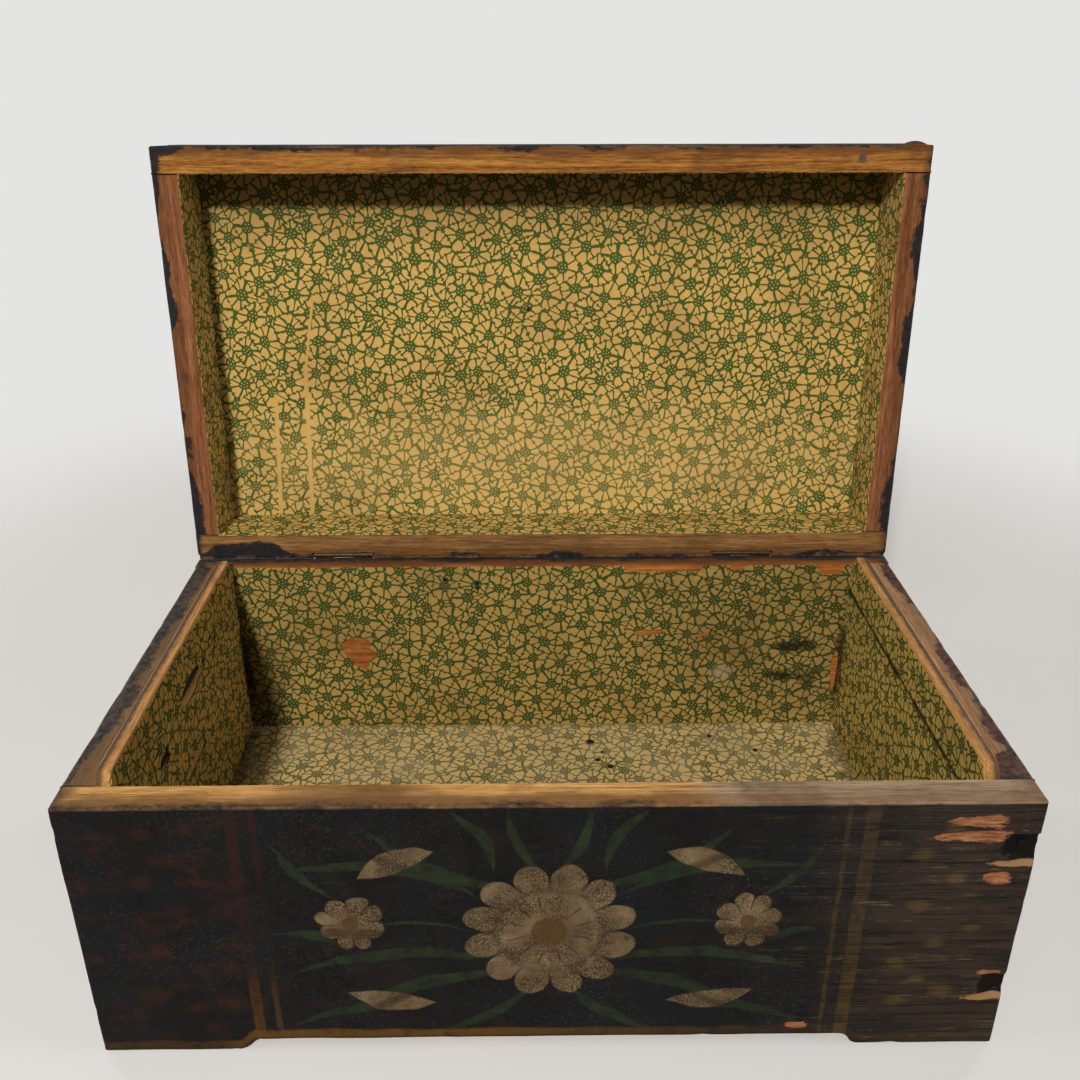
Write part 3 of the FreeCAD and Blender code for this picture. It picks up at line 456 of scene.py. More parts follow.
def board_material(name, axis, on_lid, tones, rim, front=False, patch=None, rim_coat="45413d", edge=None,
                   seam=None, thin=0):
    """Painted outer faces, wood that shows through on worn edges, and bare wood inside and on the rim.

    Rim: least and greatest reach of paint over the rim, softness. Patch: middle, half length, reach there.
    Edge: where soiling starts and is full, colour, share. Seam: an open joint. Thin: how rubbed paint is.
    """
    g = Graph(name)
    place, x, y, z = g.millimetres(on_lid)
    run = x if axis == "x" else y
    outside = g.low(HALF_LENGTH - g.size(x), HALF_DEPTH - g.size(y))
    if on_lid:
        rim_gap = z - RIM
        outside = g.low(outside, LID_TOP - z)
    else:
        rim_gap = WALL_TOP - z
    bare, grain = wood(g, x, y, z, axis, tones)
    drift = g.noise(place, 0.03, 3, 0.55)
    streak = (g.noise(grain_space(g, x, y, z, axis, 0.2), 0.12, 6, 0.7) - 0.5) * 9
    least, most, soft = rim
    reach = g.step(0.36, 0.64, drift) * (most - least) + least
    if front:
        right = g.step(45, 75, x + streak * 3)
        bare = g.mix(right, bare, wood(g, x, y, z, axis, GREY_BROWN)[0])
        bare = g.mix(g.step(34, 12, g.size(x + 78 + streak * 3)) * 0.55, bare, "4f3520")
        reach = reach - right * 2.6
    if patch:
        middle, half, patch_reach = patch
        near = g.step(half + 6, half - 6, g.size(run - middle))
        reach = reach + near * (patch_reach - reach)
    on_rim = g.step(1.5, 0.5, rim_gap)
    if edge:
        inner, outer, code, share = edge
        soiled = g.step(inner, outer, outside + streak * 0.6 + (drift - 0.5) * 10) * on_rim
        if front:
            soiled = soiled * (1 - right * 0.5)
        bare = g.mix(soiled * share, bare, code)
    on_face = g.step(2.1, 1.1, outside)
    flakes = (g.noise(grain_space(g, x, y, z, axis, 0.5), 0.55, 5, 0.8) - 0.5) * 9
    rim_part = g.step(soft, -soft, outside - reach + streak * 0.5 + flakes)
    painted = on_rim * rim_part + (1 - on_rim) * on_face
    if thin:
        fine_wear = g.noise(grain_space(g, x, y, z, axis, 0.12), 0.22, 6, 0.8)
        worn_places = g.step(0.5, 0.66, g.noise(place, 0.016, 4, 0.6))
        painted = painted * (1 - g.step(0.46, 0.62, fine_wear) * (worn_places * 0.8 + 0.12) * thin)
    coat, coat_relief = paint(g, x, y, z, axis)
    if front:
        coat = front_design(g, x, z, coat)
    dull = g.mix(g.step(0.3, 0.7, g.noise(place, 0.3, 5, 0.75)), "1d1917", rim_coat)
    coat = g.mix(on_rim * 0.8, coat, dull)
    colour = g.mix(painted, bare, coat)
    arris = g.step(1.5, 0.3, g.high(outside, rim_gap) + streak * 0.15)
    rubbed = arris * g.step(0.45, 0.65, g.noise(place, 0.09, 4, 0.7)) * 0.7
    colour = g.mix(rubbed, colour, "6d5741")
    if seam:
        gap = g.size(run - seam) + streak * 0.05
        colour = g.mix(g.step(0.9, 0.4, gap), colour, OPEN_JOINT)
    relief = painted * 0.5 + grain * 0.4 + coat_relief * painted * 0.4
    if front:
        colour, relief = front_chips(g, x, y, z, colour, relief)
    return g.finish(colour, 0.74 - painted * 0.14, relief, 0.25, 0.05)


def bare_material(name, axis, tones, soiled=None, joints=()):
    """Unpainted boards, soiled between two distances from the middle of the box and black in open joints."""
    g = Graph(name)
    place, x, y, z = g.millimetres(False)
    colour, grain = wood(g, x, y, z, axis, tones)
    dirt = g.step(0.5, 0.8, g.noise(place, 0.12, 4, 0.7)) * 0.5
    if soiled:
        ragged = (g.noise(place, 0.3, 4, 0.7) - 0.5) * 3
        dirt = g.high(dirt, g.step(*soiled, g.size(x) + ragged) * 0.88)
    colour = g.mix(dirt, colour, "3d2a1a")
    for height in joints:
        colour = g.mix(g.step(2.6, 1.8, g.size(z - height)), colour, OPEN_JOINT)
    return g.finish(colour, 0.74 - grain * 0.1, grain, 0.3)


# Printed lining paper
FLOWER_PITCH, SCATTER, LATTICE_TURN = 13.4, 0.38, 0.5
DISC, DOT_RING, DOTS, DOT = 3.2, 1.8, 6, 0.36
PETAL_END, SCRAP_PITCH = 8.8, 4.4


def flowers(g, u, v):
    """Ink of an all-over daisy print: dotted discs, and petals that reach to the next flower."""
    cosine, sine = math.cos(LATTICE_TURN), math.sin(LATTICE_TURN)
    place = g.vector(u * cosine - v * sine, u * sine + v * cosine)
    for pitch, amount in ((32, 7), (8, 2.2)):
        wobble = g.vector_math("SUBTRACT", g.noise(place, 1 / pitch, 2, output="Color"), (0.5, 0.5, 0.5))
        place = g.vector_math("ADD", place, g.scale(wobble, amount))
    cell = g.voronoi(place, 1 / FLOWER_PITCH, flat=True, random=SCATTER)
    tint, centre = g.outputs(cell, "Color", "Position")
    seam = g.voronoi(place, 1 / FLOWER_PITCH, "DISTANCE_TO_EDGE", True, SCATTER) * FLOWER_PITCH
    scraps = g.voronoi(place, 1 / SCRAP_PITCH, "DISTANCE_TO_EDGE", True) * SCRAP_PITCH
    du, dv, _ = g.split(g.vector_math("SUBTRACT", place, centre))
    reach = g.length(du, dv)
    turn = g.math("ARCTAN2", dv, du) / (2 * math.pi)
    pick, phase, _ = g.split(tint)
    turn = turn + g.math("SINE", turn * (6 * math.pi) + phase * 30) * 0.018
    petals = g.math("FLOOR", pick * 2.99) + 7
    sector = g.size(g.math("FRACT", turn * petals + phase * 5 + 20) - 0.5)
    arc = reach * (2 * math.pi) / petals
    rib = (0.5 - sector) * arc - 0.12
    blunt = sector * sector * sector * 6
    notch = g.step(0.9, 0, sector * arc) * 0.8
    end = g.low(seam, PETAL_END - reach) + 0.2 - blunt - notch
    petal_line = g.math("SMOOTH_MIN", rib, end, 0.6)
    scrap_line = g.low(g.low(scraps, reach - PETAL_END), seam)
    beyond = g.math("GREATER_THAN", reach, PETAL_END)
    line = petal_line + (scrap_line - petal_line) * beyond
    uneven = (g.noise(place, 0.4, 3) - 0.5) * 0.9
    ink = g.step(0.5, 0.3, line + uneven)
    disc = g.step(0.2, -0.2, reach - DISC + uneven)
    dot_turn = (g.math("FRACT", turn * DOTS + phase * 3 + 20) - 0.5) * (2 * math.pi * DOT_RING / DOTS)
    dots = g.low(g.length(reach - DOT_RING, dot_turn), reach)
    return g.high(ink, disc) * g.step(DOT - 0.14, DOT + 0.1, dots)


def stripe(g, u, v, start, end, half_width):
    """Mask of a narrow straight stripe between two points."""
    along, aside, span = beside_line(u, v, start, end)
    inside = g.step(-1, 1, along) * g.step(span + 1, span - 1, along)
    return g.step(half_width + 0.4, half_width - 0.4, g.size(aside)) * inside


def paper_material(name, plane, on_lid, ground, ink, fade=0, stain=0.3, stripes=(), spots=(), blots=(),
                   joint=None, painted_shade=None):
    """Ochre paper with green flowers, aged by stains, dust, rubbed print and a dirty joint, with painted
    shade and light.

    Stripes without print: start, end, half width. Spots: place, radius. Blots (stains, dirt, painted light
    and shade): place, radii, strength, colour. Painted shade: heights where it is full and ends, strength.
    """
    g = Graph(name)
    _, x, y, z = g.millimetres(on_lid)
    u, v = {"xy": (x, y), "xz": (x, z), "yz": (y, z)}[plane]
    flat = g.vector(u, v)
    shift = 400 + len(name) * 7
    printed = flowers(g, u + shift, v + shift)
    printed = printed * (g.step(0.16, 0.4, g.noise(flat, 0.5, 4, 0.75)) * 0.25 + 0.75)
    for bare_line in stripes:
        printed = printed * (1 - stripe(g, u, v, *bare_line))
    fibre = g.noise(flat, 1.4, 4, 0.8)
    shade = g.step(0.3, 0.7, fibre)
    colour = g.mix(printed, g.mix(shade, *ground), g.mix(shade, *ink))
    age = g.step(0.42, 0.72, g.noise(flat, 0.02, 4, 0.6))
    colour = g.mix(age * stain, colour, "4d3a1c")
    if fade:
        dust = g.step(0.25, 0.7, g.noise(flat, 0.03, 4, 0.6)) * fade + fade * 0.4
        colour = g.mix(dust, colour, "b3a480")
    ragged = (g.noise(flat, 0.3, 4, 0.7) - 0.5) * 4
    spread = g.noise(g.vector(u * 0.6, v), 0.12, 5, 0.75)
    for (su, sv), radius in spots:
        near = g.length(u - su, v - sv) - radius + ragged * 0.5
        colour = g.mix(g.step(0.6, -0.4, near), colour, "17181c")
    for (su, sv), (wide, tall), strength, tint in blots:
        near = g.length((u - su) / wide, (v - sv) / tall) + (spread - 0.5) * 2.4
        colour = g.mix(g.step(1, 0.35, near) * strength, colour, tint)
    # Painted shade: darkest at one height of the paper and fading out by another.
    if painted_shade:
        start, end, strength = painted_shade
        drifting = v + (spread - 0.5) * 14
        colour = g.mix(g.step(end, start, drifting) * strength, colour, "2a1f0e")
    if joint:
        opening = (g.noise(flat, 0.05, 3, 0.7) - 0.5) * 5
        dirty = g.step(2.2, 0.5, g.size(v - joint) + ragged * 0.4 - opening)
        colour = g.mix(dirty * 0.85, colour, "1a130a")
    ripple = g.noise(flat, 0.06, 3)
    return g.finish(colour, 0.88 - printed * 0.06, fibre * 0.25 + ripple, 0.35, 0.12)


# Metal
def metal_material(name, dark, light, rust, metallic):
    """Old metal with darkened and rusty patches."""
    g = Graph(name)
    place = g.millimetres(False)[0]
    patina = g.noise(place, 0.9, 4, 0.7)
    colour = g.mix(g.step(0.3, 0.7, patina), dark, light)
    spots = g.step(0.55, 0.7, g.noise(place, 1.7, 3))
    colour = g.mix(spots * 0.7, colour, rust)
    return g.finish(colour, patina * 0.3 + 0.4, patina, 0.1, 0.5, metallic)


# Meshes
EDGE_RADIUS, SHEET_GAP = 1.5, 7


def make_piece(name, vertices, faces, material, node, body):
    """A piece in millimetres of the closed box, in place of a CAD node or beside it."""
    mesh = bpy.data.meshes.new(name)
    mesh.from_pydata([tuple(c * MM for c in p) for p in vertices], [], faces)
    if body == "lid":
        mesh.transform(OPENED)
    mesh.materials.append(material)
    mesh.shade_smooth()
    mesh.set_sharp_from_angle(angle=math.radians(40))
    piece = bpy.data.objects.new(name, mesh)
    SCENE.collection.objects.link(piece)
    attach(piece, body)
    if node:
        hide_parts(node)
    return piece


def stations(low, high, coarse, fine):
    """Places along an edge, close together near both ends and in the fine ranges."""
    near = [0, 0.3, 0.7, 1.2, 1.9, 2.8, 4]
    span = high - low
    middle = np.linspace(near[-1], span - near[-1], max(2, round((span - 2 * near[-1]) / coarse) + 1))
    places = [low + n for n in near[:-1]] + [low + m for m in middle] + [high - n for n in near[:-1]]
    for start, end, gap in fine:
        places = [p for p in places if not start < p < end] + list(np.arange(start, end + gap / 2, gap))
    places = sorted(places)
    return [p for i, p in enumerate(places) if i == 0 or p - places[i - 1] > 0.1]


def grid_box(xs, ys, zs):
    """Vertices and outward quads of a box whose six faces are grids."""
    index, vertices, faces = {}, [], []

    def corner(*key):
        if key not in index:
            index[key] = len(vertices)
            vertices.append((xs[key[0]], ys[key[1]], zs[key[2]]))
        return index[key]

    last = (len(xs) - 1, len(ys) - 1, len(zs) - 1)
    for axis in range(3):
        a, b = (axis + 1) % 3, (axis + 2) % 3
        for end in (0, last[axis]):
            for i in range(last[a]):
                for j in range(last[b]):
                    ring = []
                    for di, dj in ((0, 0), (1, 0), (1, 1), (0, 1)):
                        key = [0, 0, 0]
                        key[axis], key[a], key[b] = end, i + di, j + dj
                        ring.append(corner(*key))
                    faces.append(tuple(ring if end else reversed(ring)))
    return vertices, faces


def rolling(point, scale, shift=0):
    """Smooth noise from 0 to 1."""
    return 0.5 + 0.5 * noise.noise(Vector(point) * scale + Vector((shift, shift * 1.7, -shift)))


def wear_box(vertices, low, high, exposed, radius, swellings):
    """Round and dent the edges of a box between exposed faces, and push it out at given places."""
    worn = []
    for p in vertices:
        p = np.array(p, float)
        sides = []
        for axis, names in enumerate((("left", "right"), ("front", "back"), ("bottom", "top"))):
            to_low, to_high = p[axis] - low[axis], high[axis] - p[axis]
            sides.append((min(to_low, to_high), names[0] if to_low < to_high else names[1]))
        sides.sort()
        open_edge = sides[0][1] in exposed and sides[1][1] in exposed
        bite = max(0, rolling(p, 0.16, 7) - 0.62) * 4
        r = radius * (0.55 + 0.7 * rolling(p, 0.045)) + bite if open_edge else 0.25
        inner = np.clip(p, np.array(low) + r, np.array(high) - r)
        out = p - inner
        size = np.linalg.norm(out)
        sunk = 0.06 + 0.16 * rolling(p, 0.05, 3) if sides[0][1] in exposed else 0
        if size > 0:
            p = inner + out / size * (r - sunk)
        for middle, radii, push in swellings:
            e = np.linalg.norm((p - np.array(middle)) / np.array(radii))
            if e < 1:
                p = p + np.array(push) * (1 - e ** 2)
        worn.append(p)
    return worn


def break_out(vertices):
    """Cut the broken places of FACE_CHIPS into the front board."""
    for p in vertices:
        for left, right, bottom, top, depth, _ in FACE_CHIPS:
            beside = abs(p[0] - (left + right) / 2) / ((right - left) / 2)
            above = abs(p[2] - (bottom + top) / 2) / ((top - bottom) / 2)
            ragged = 0.5 * (rolling((p[0] * 0.4, 0, p[2]), 0.3, 4) - 0.5)
            inside = min(1, max(0, (1.1 - (beside ** 3 + above ** 3) ** (1 / 3) - ragged) * 3.5))
            floor = -HALF_DEPTH + depth * inside * (0.6 + 0.7 * rolling((p[0] * 0.3, 0, p[2]), 0.5, 1))
            p[1] = max(p[1], floor) if inside else p[1]
    return vertices


def ogee(s):
    """Height over the ground at a distance past the flat of a foot."""
    radius = (OGEE_RUN ** 2 + FOOT_HEIGHT ** 2) / (4 * FOOT_HEIGHT)
    if s <= 0:
        return 0
    if s < OGEE_RUN / 2:
        return radius - math.sqrt(radius ** 2 - s ** 2)
    if s < OGEE_RUN:
        return FOOT_HEIGHT - radius + math.sqrt(radius ** 2 - (OGEE_RUN - s) ** 2)
    return FOOT_HEIGHT


def lift_apron(vertices, axis, first, last):
    """Raise the lower edge between two feet, and squeeze the board over it to match."""
    blend = 30
    for p in vertices:
        rise = min(ogee(p[axis] - first), ogee(last - p[axis]))
        p[2] += rise * max(0, 1 - p[2] / blend)
    return vertices


def between_feet(axis):
    """Axis along a board and the ends of its lower edge between the feet."""
    half = (HALF_LENGTH, HALF_DEPTH)[axis]
    return axis, FOOT_LENGTH - half, half - FOOT_LENGTH


def worn_board(node, material, exposed, radius=EDGE_RADIUS, swellings=(), apron=None, fine=((), (), ()),
               coarse=4.5, broken=False):
    """A board with rounded, dented edges in place of a plain one."""
    low, high = closed_box(node)
    fine = [list(ranges) for ranges in fine]
    if apron:
        axis, first, last = apron
        fine[axis] += [(first - 0.5, first + OGEE_RUN + 0.5, 0.7), (last - OGEE_RUN - 0.5, last + 0.5, 0.7)]
    vertices, faces = grid_box(*(stations(low[i], high[i], coarse, fine[i]) for i in range(3)))
    vertices = wear_box(vertices, low, high, exposed, radius, swellings)
    if broken:
        vertices = break_out(vertices)
    if apron:
        vertices = lift_apron(vertices, *apron)
    body = "lid" if swings(node) else "box"
    make_piece(f"worn_{node}", vertices, faces, material, node, body)


def ragged_loop(middle, radii, count, seed, jag):
    """A torn outline round a point."""
    loop = []
    for i in range(count):
        angle = 2 * math.pi * i / count
        reach = 1 + jag * 2 * (rolling((math.cos(angle) * 2, math.sin(angle) * 2, seed), 0.9, seed) - 0.5)
        reach += jag * 0.5 * (rolling((i * 3.1, seed, 0), 0.7, seed) - 0.5)
        loop.append((middle[0] + radii[0] * reach * math.cos(angle),
                     middle[1] + radii[1] * reach * math.sin(angle)))
    return loop


def within(point, loop):
    """Whether a point lies in a closed outline."""
    inside = False
    for (ax, ay), (bx, by) in zip(loop, loop[1:] + loop[:1]):
        if (ay > point[1]) != (by > point[1]) and point[0] < ax + (point[1] - ay) / (by - ay) * (bx - ax):
            inside = not inside
    return inside


def torn_sheet(node, outline, tears, to_space, material):
    """A sheet of paper with torn holes, lifted a little round the tears, in place of a plain one."""
    tears = [ragged_loop(*tear) for tear in tears]
    points, edges = [], []
    for loop in [outline] + tears:
        start = len(points)
        points += [Vector(p) for p in loop]
        edges += [(start + i, start + (i + 1) % len(loop)) for i in range(len(loop))]
    torn_from, torn_to = len(outline), len(points)
    us, vs = zip(*outline)
    for u in np.arange(min(us) + SHEET_GAP, max(us) - SHEET_GAP / 2, SHEET_GAP):
        for v in np.arange(min(vs) + SHEET_GAP, max(vs) - SHEET_GAP / 2, SHEET_GAP):
            points.append(Vector((u, v)))
    found, _, triangles, origins, _, _ = geometry.delaunay_2d_cdt(points, edges, [], 1, 1e-5)
    middles = [sum((found[i] for i in t), Vector((0, 0))) / 3 for t in triangles]
    triangles = [t for t, middle in zip(triangles, middles)
                 if not any(within(middle, tear) for tear in tears)]
    front, back = [], []
    for p, sources in zip(found, origins):
        at_tear = any(torn_from <= s < torn_to for s in sources)
        on_edge = any(s < torn_from for s in sources)
        lift = 0 if on_edge else 0.1 * rolling((p[0], p[1], 0), 0.07)
        if at_tear:
            lift = 0.15 + 0.5 * rolling((p[0], p[1], 5), 0.3)
        front.append(to_space(p[0], p[1], PAPER + lift))
        back.append(to_space(p[0], p[1], lift))
    count = len(found)
    faces = [tuple(t) for t in triangles] + [tuple(count + i for i in reversed(t)) for t in triangles]
    sides = {}
    for t in triangles:
        for i in range(3):
            a, b = t[i], t[(i + 1) % 3]
            sides[(a, b)] = sides.pop((b, a), None) is None
    faces += [(b, a, count + a, count + b) for (a, b), single in sides.items() if single]
    piece = make_piece(f"torn_{node}", front + back, faces, material, node, "box")
    bm = bmesh.new()
    bm.from_mesh(piece.data)
    bmesh.ops.delete(bm, geom=[v for v in bm.verts if not v.link_faces], context="VERTS")
    bmesh.ops.recalc_face_normals(bm, faces=bm.faces)
    bm.to_mesh(piece.data)
    bm.free()
    return piece


def facing_outline(node):
    """Outline of a node's flat face that looks to the right, as points of y and z."""
    mesh = frame["nodes"][node].data
    turned = {}
    for face in mesh.polygons:
        if face.normal.x > 0.99:
            for a, b in face.edge_keys:
                turned[(a, b)] = (a, b) not in turned
    beside = {}
    for (a, b), single in turned.items():
        if single:
            beside.setdefault(a, []).append(b)
            beside.setdefault(b, []).append(a)
    loop = [min(beside)]
    while len(loop) < len(beside):
        loop.append(next(i for i in beside[loop[-1]] if i not in loop))
    return [(mesh.vertices[i].co.y / MM, mesh.vertices[i].co.z / MM) for i in loop]


def dress(material, *names):
    """Give CAD nodes a material."""
    for name in names:
        slots = frame["nodes"][name].data.materials
        slots.clear()
        slots.append(material)


# Boards
front_wood = board_material(
    "front_paint", "x", False, GOLDEN, (0.4, 2.4, 2), front=True, rim_coat="4d3d31",
    edge=(10.5, 4, "65492f", 0.8))
side_woods = {
    "left": board_material(
        "left_side_paint", "y", False, RIM_BROWN, (5, 9.5, 0.9), patch=(-84, 14, 3),
        rim_coat="585047", edge=(13, 4, "5f4c39", 0.6), seam=FRONT_FACE, thin=0.35),
    "right": board_material(
        "right_side_paint", "y", False, RIM_TAN, (0.5, 6.5, 1), patch=(-90, 13, 16),
        rim_coat="6a4c42", edge=(12, 3, "6a5440", 0.6), seam=FRONT_FACE, thin=0.35),
}
back_wood = board_material(
    "back_paint", "x", False, INNER_ORANGE, (2, 6, 1.5), edge=(16, 4, "4d3220", 0.85), thin=0.6)
lid_rail_wood = board_material(
    "lid_rail_paint", "x", True, RAIL_BROWN, (-0.6, 2.4, 0.8), patch=(-184, 8, 4),
    rim_coat=LID_COAT, edge=(6.5, 1.5, "553821", 0.75))
lid_back_wood = board_material(
    "lid_back_paint", "x", True, BACK_RAIL, (-1, 2.6, 0.8), patch=(-163, 20, 8.5),
    rim_coat=LID_COAT, edge=(8, 1.5, "4a2d16", 0.6))
lid_stile_wood = board_material(
    "lid_stile_paint", "y", True, STILE_RED, (-1, 5.5, 0.8), rim_coat=LID_COAT,
    edge=(6, 1.5, "4b2f1d", 0.5), seam=RAIL_FACE)
lid_panel_wood = board_material("lid_panel_paint", "x", True, HIDDEN_BROWN, (2, 2.5, 1), thin=0.45)
liner_wood = bare_material("liner_wood", "y", LINER_TAN, (172.6, 174.6), (LEFT_JOINT, RIGHT_JOINT))
bottom_wood = bare_material("bottom_wood", "x", HIDDEN_BROWN)

# Stretches of x, y and z with a finer grid: start, end, gap
FRONT_FINE = ([(147, 188.5, 1.8)], (), [(24, 43, 1.8), (85, 124.5, 1.8)])
RAIL_FINE = ([(172, 187, 1.5)], (), ())
# A splinter that stands off the lid's front rail: middle, radii, push
RAIL_SPLINTER = ((180.5, -HALF_DEPTH, RIM + 0.7), (6.5, 3, 4), (0, -1.9, -0.3))
TOP_RADIUS = 2.2

worn_board("front_board", front_wood, {"left", "right", "front", "top", "bottom"}, apron=between_feet(0),
           fine=FRONT_FINE, coarse=5, broken=True)
for side in ("left", "right"):
    worn_board(f"{side}_side_board", side_woods[side], {side, "top", "bottom"}, apron=between_feet(1))
    worn_board(f"lid_{side}_stile", lid_stile_wood, {side, "bottom"})
worn_board("lid_front_rail", lid_rail_wood, {"left", "right", "front", "bottom"}, swellings=[RAIL_SPLINTER],
           fine=RAIL_FINE)
worn_board("lid_top_panel", lid_panel_wood, {"left", "right", "front", "back", "top"}, TOP_RADIUS, coarse=9)

# Swelling of the lid's back rail beside the hinges: distance out of the back face, height over the rim
SWELLING = ((-0.4, 0.1), (0.8, 0.15), (1.05, 0.2), (1.05, 1.8), (0.6, 5.7), (-0.4, 13.2))
SWELLING_INSET, HINGE_CLEARANCE = 1, 0.1


def swell_back_rail():
    """Strips along the lower edge of the lid's back rail, from its ends to the hinges and between them."""
    ends = [SWELLING_INSET - HALF_LENGTH]
    for side in ("left", "right"):
        (start, _, _), (end, _, _) = closed_box(f"{side}_hinge_lid_leaf")
        ends += [start - HINGE_CLEARANCE, end + HINGE_CLEARANCE]
    ends.append(HALF_LENGTH - SWELLING_INSET)
    points, faces, count = [], [], len(SWELLING)
    for strip in zip(ends[::2], ends[1::2]):
        first = len(points)
        points += [(x, HALF_DEPTH + out, RIM + up) for x in strip for out, up in SWELLING]
        for i in range(count):
            a, b = first + i, first + (i + 1) % count
            faces.append((a, b, b + count, a + count))
        faces.append(tuple(reversed(range(first, first + count))))
        faces.append(tuple(range(first + count, first + 2 * count)))
    make_piece("swollen_lid_back_rail", points, faces, lid_back_wood, None, "lid")


swell_back_rail()
dress(front_wood, "front_nails")
dress(back_wood, "back_board", "back_nails")
dress(lid_back_wood, "lid_back_rail", "lid_frame_nails", "lid_panel_nails")
dress(bottom_wood, "bottom_board")
dress(liner_wood, *(name for name in frame["nodes"] if "liner" in name))

# Lining paper: two shades of the ground and of the ink
LID_GROUND, LID_INK = ("b8914c", "cba660"), ("384c1c", "425825")
BOX_GROUND, BOX_INK = ("97793e", "a98a4a"), ("2d3c15", "37491d")
LEFT_GROUND, RIGHT_GROUND = ("a67f3a", "b99249"), ("a4863f", "b7984e")
# The floor's ground is lighter than the walls': painted light on the lit floor.
FLOOR_GROUND = ("b99754", "ccac67")
# The middle colour darkens paper as dirt in corners and as painted shade.
SMEAR, SHADE_AND_DIRT, CORNER_DIRT = "16130a", "1c140a", "150e07"

# Lid paper: the pale blot on its lower part is painted light, and the painted shade under the front rail
# fades out away from the rail.
lid_paper = paper_material(
    "lid_paper", "xy", True, LID_GROUND, LID_INK, stain=0.25,
    stripes=(((-147, 23), (-150, 93), 1.1), ((-122.5, -31), (-129.5, 10), 0.7),
             ((-129.5, 10), (-132, 93), 1.2)),
    spots=(((-7, -23), 0.9),), blots=(((0, 62), (260, 46), 0.16, "dcbc78"),), painted_shade=(-98, -40, 0.62))
lid_edge_paper = paper_material("lid_edge_paper", "xz", True, LID_GROUND, LID_INK)
lid_end_paper = paper_material("lid_end_paper", "yz", True, LID_GROUND, LID_INK, stain=0.5)
# Back paper: the wide blot at its left end is a painted shadow of the left wall, and the broad blot on its
# right is painted shade.
back_paper = paper_material(
    "back_paper", "xz", False, BOX_GROUND, BOX_INK, stain=0.35,
    spots=(((-54, 120.7), 1.2), ((-36.4, 118.5), 1.2), ((-36, 115.5), 1.1)),
    blots=(((143, 77), (17, 5), 0.9, SMEAR), ((136, 58), (13, 4.5), 0.85, SMEAR),
           ((153, 56), (8, 9), 0.6, "1c170c"), ((102, 60), (8, 9), 0.3, "a9a38f"),
           ((-169, 62), (4, 34), 0.8, CORNER_DIRT), ((-166, 52), (24, 64), 0.45, SHADE_AND_DIRT),
           ((169, 70), (4, 40), 0.7, SHADE_AND_DIRT), ((140, 88), (110, 90), 0.24, SHADE_AND_DIRT)))
front_paper = paper_material("front_paper", "xz", False, BOX_GROUND, BOX_INK)
left_paper = paper_material(
    "left_paper", "yz", False, LEFT_GROUND, BOX_INK, stain=0.25,
    spots=(((29, 111), 1.6), ((-33, 104.6), 1.3), ((14, 74), 1.4)),
    blots=(((-20, 86.3), (5, 4.5), 0.8, "b58a3c"), ((96, 66), (4, 34), 0.85, CORNER_DIRT)))
right_paper = paper_material(
    "right_paper", "yz", False, RIGHT_GROUND, BOX_INK, stain=0.35, joint=RIGHT_JOINT,
    blots=(((95, 66), (6, 34), 0.75, SHADE_AND_DIRT), ((-21, 114.5), (5, 2.4), 0.8, "a88c57")))
floor_paper = paper_material(
    "floor_paper", "xy", False, FLOOR_GROUND, BOX_INK, fade=0.27, stain=0.25,
    spots=(((27, 79), 2), ((37, 56), 1.8), ((30, 62), 1.4), ((33, 69), 1), ((96, 84), 1.3), ((120, 70), 1.5)),
    blots=(((168, 40), (8, 70), 0.6, "3f301a"), ((-169, 60), (7, 50), 0.6, "2c2110"),
           ((0, 97), (220, 4), 0.45, "5a4827")))
dress(lid_paper, "lid_top_paper")
dress(lid_edge_paper, "lid_front_paper", "lid_back_paper")
dress(lid_end_paper, "lid_left_paper", "lid_right_paper")
dress(front_paper, "front_lining_paper")
dress(floor_paper, "floor_lining_paper")
dress(right_paper, "right_upper_paper", "right_lower_paper")

# Holes torn in the back and left papers: middle, radii, number of points, seed, raggedness
BACK_TEARS = (
    ((-104, 75), (9, 10), 30, 3, 0.6), ((60, 87), (9.5, 1.8), 22, 5, 0.4),
    ((90, 85), (4.2, 1.2), 14, 8, 0.4), ((167.3, 62), (1.8, 13), 30, 11, 0.5),
)
LEFT_TEARS = (
    ((9.6, 111), (18, 5.6), 36, 4, 0.45), ((46.6, 110.5), (7.5, 3), 20, 7, 0.4),
    ((-39.3, 101.8), (6, 4), 20, 9, 0.4), ((-2.7, 73.4), (17, 2.8), 32, 2, 0.45),
    ((-49, 110), (6.5, 0.9), 18, 6, 0.4),
)
# Places where the upper edge of the back paper is torn off: left, right, depth
TOP_TEARS = ((46, 87, 4), (104, 112, 3.2), (152, 166, 6.5))
TOP_STEP = 2


def back_outline():
    """Outline of the back paper in x and z, with a ragged upper edge."""
    low, high = (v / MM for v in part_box("back_lining_paper"))
    top_edge = []
    for x in np.arange(high.x, low.x, -TOP_STEP):
        drop = 0.5 * rolling((x, 0, 3), 0.2)
        for start, end, depth in TOP_TEARS:
            if start < x < end:
                drop += depth * (0.5 + 0.8 * rolling((x, 0, 9), 0.35))
        top_edge.append((x, high.z - drop))
    return [(low.x, low.z), (high.x, low.z), *top_edge, (low.x, high.z)]


def left_outline():
    """Outline in y and z of one sheet over both left papers."""
    floor_edge, joint_edge = (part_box(f"left_{part}_paper")[0].z / MM for part in ("lower", "upper"))
    upper = facing_outline("left_upper_paper")
    return [(y, z if z > joint_edge + 0.01 else floor_edge) for y, z in upper]


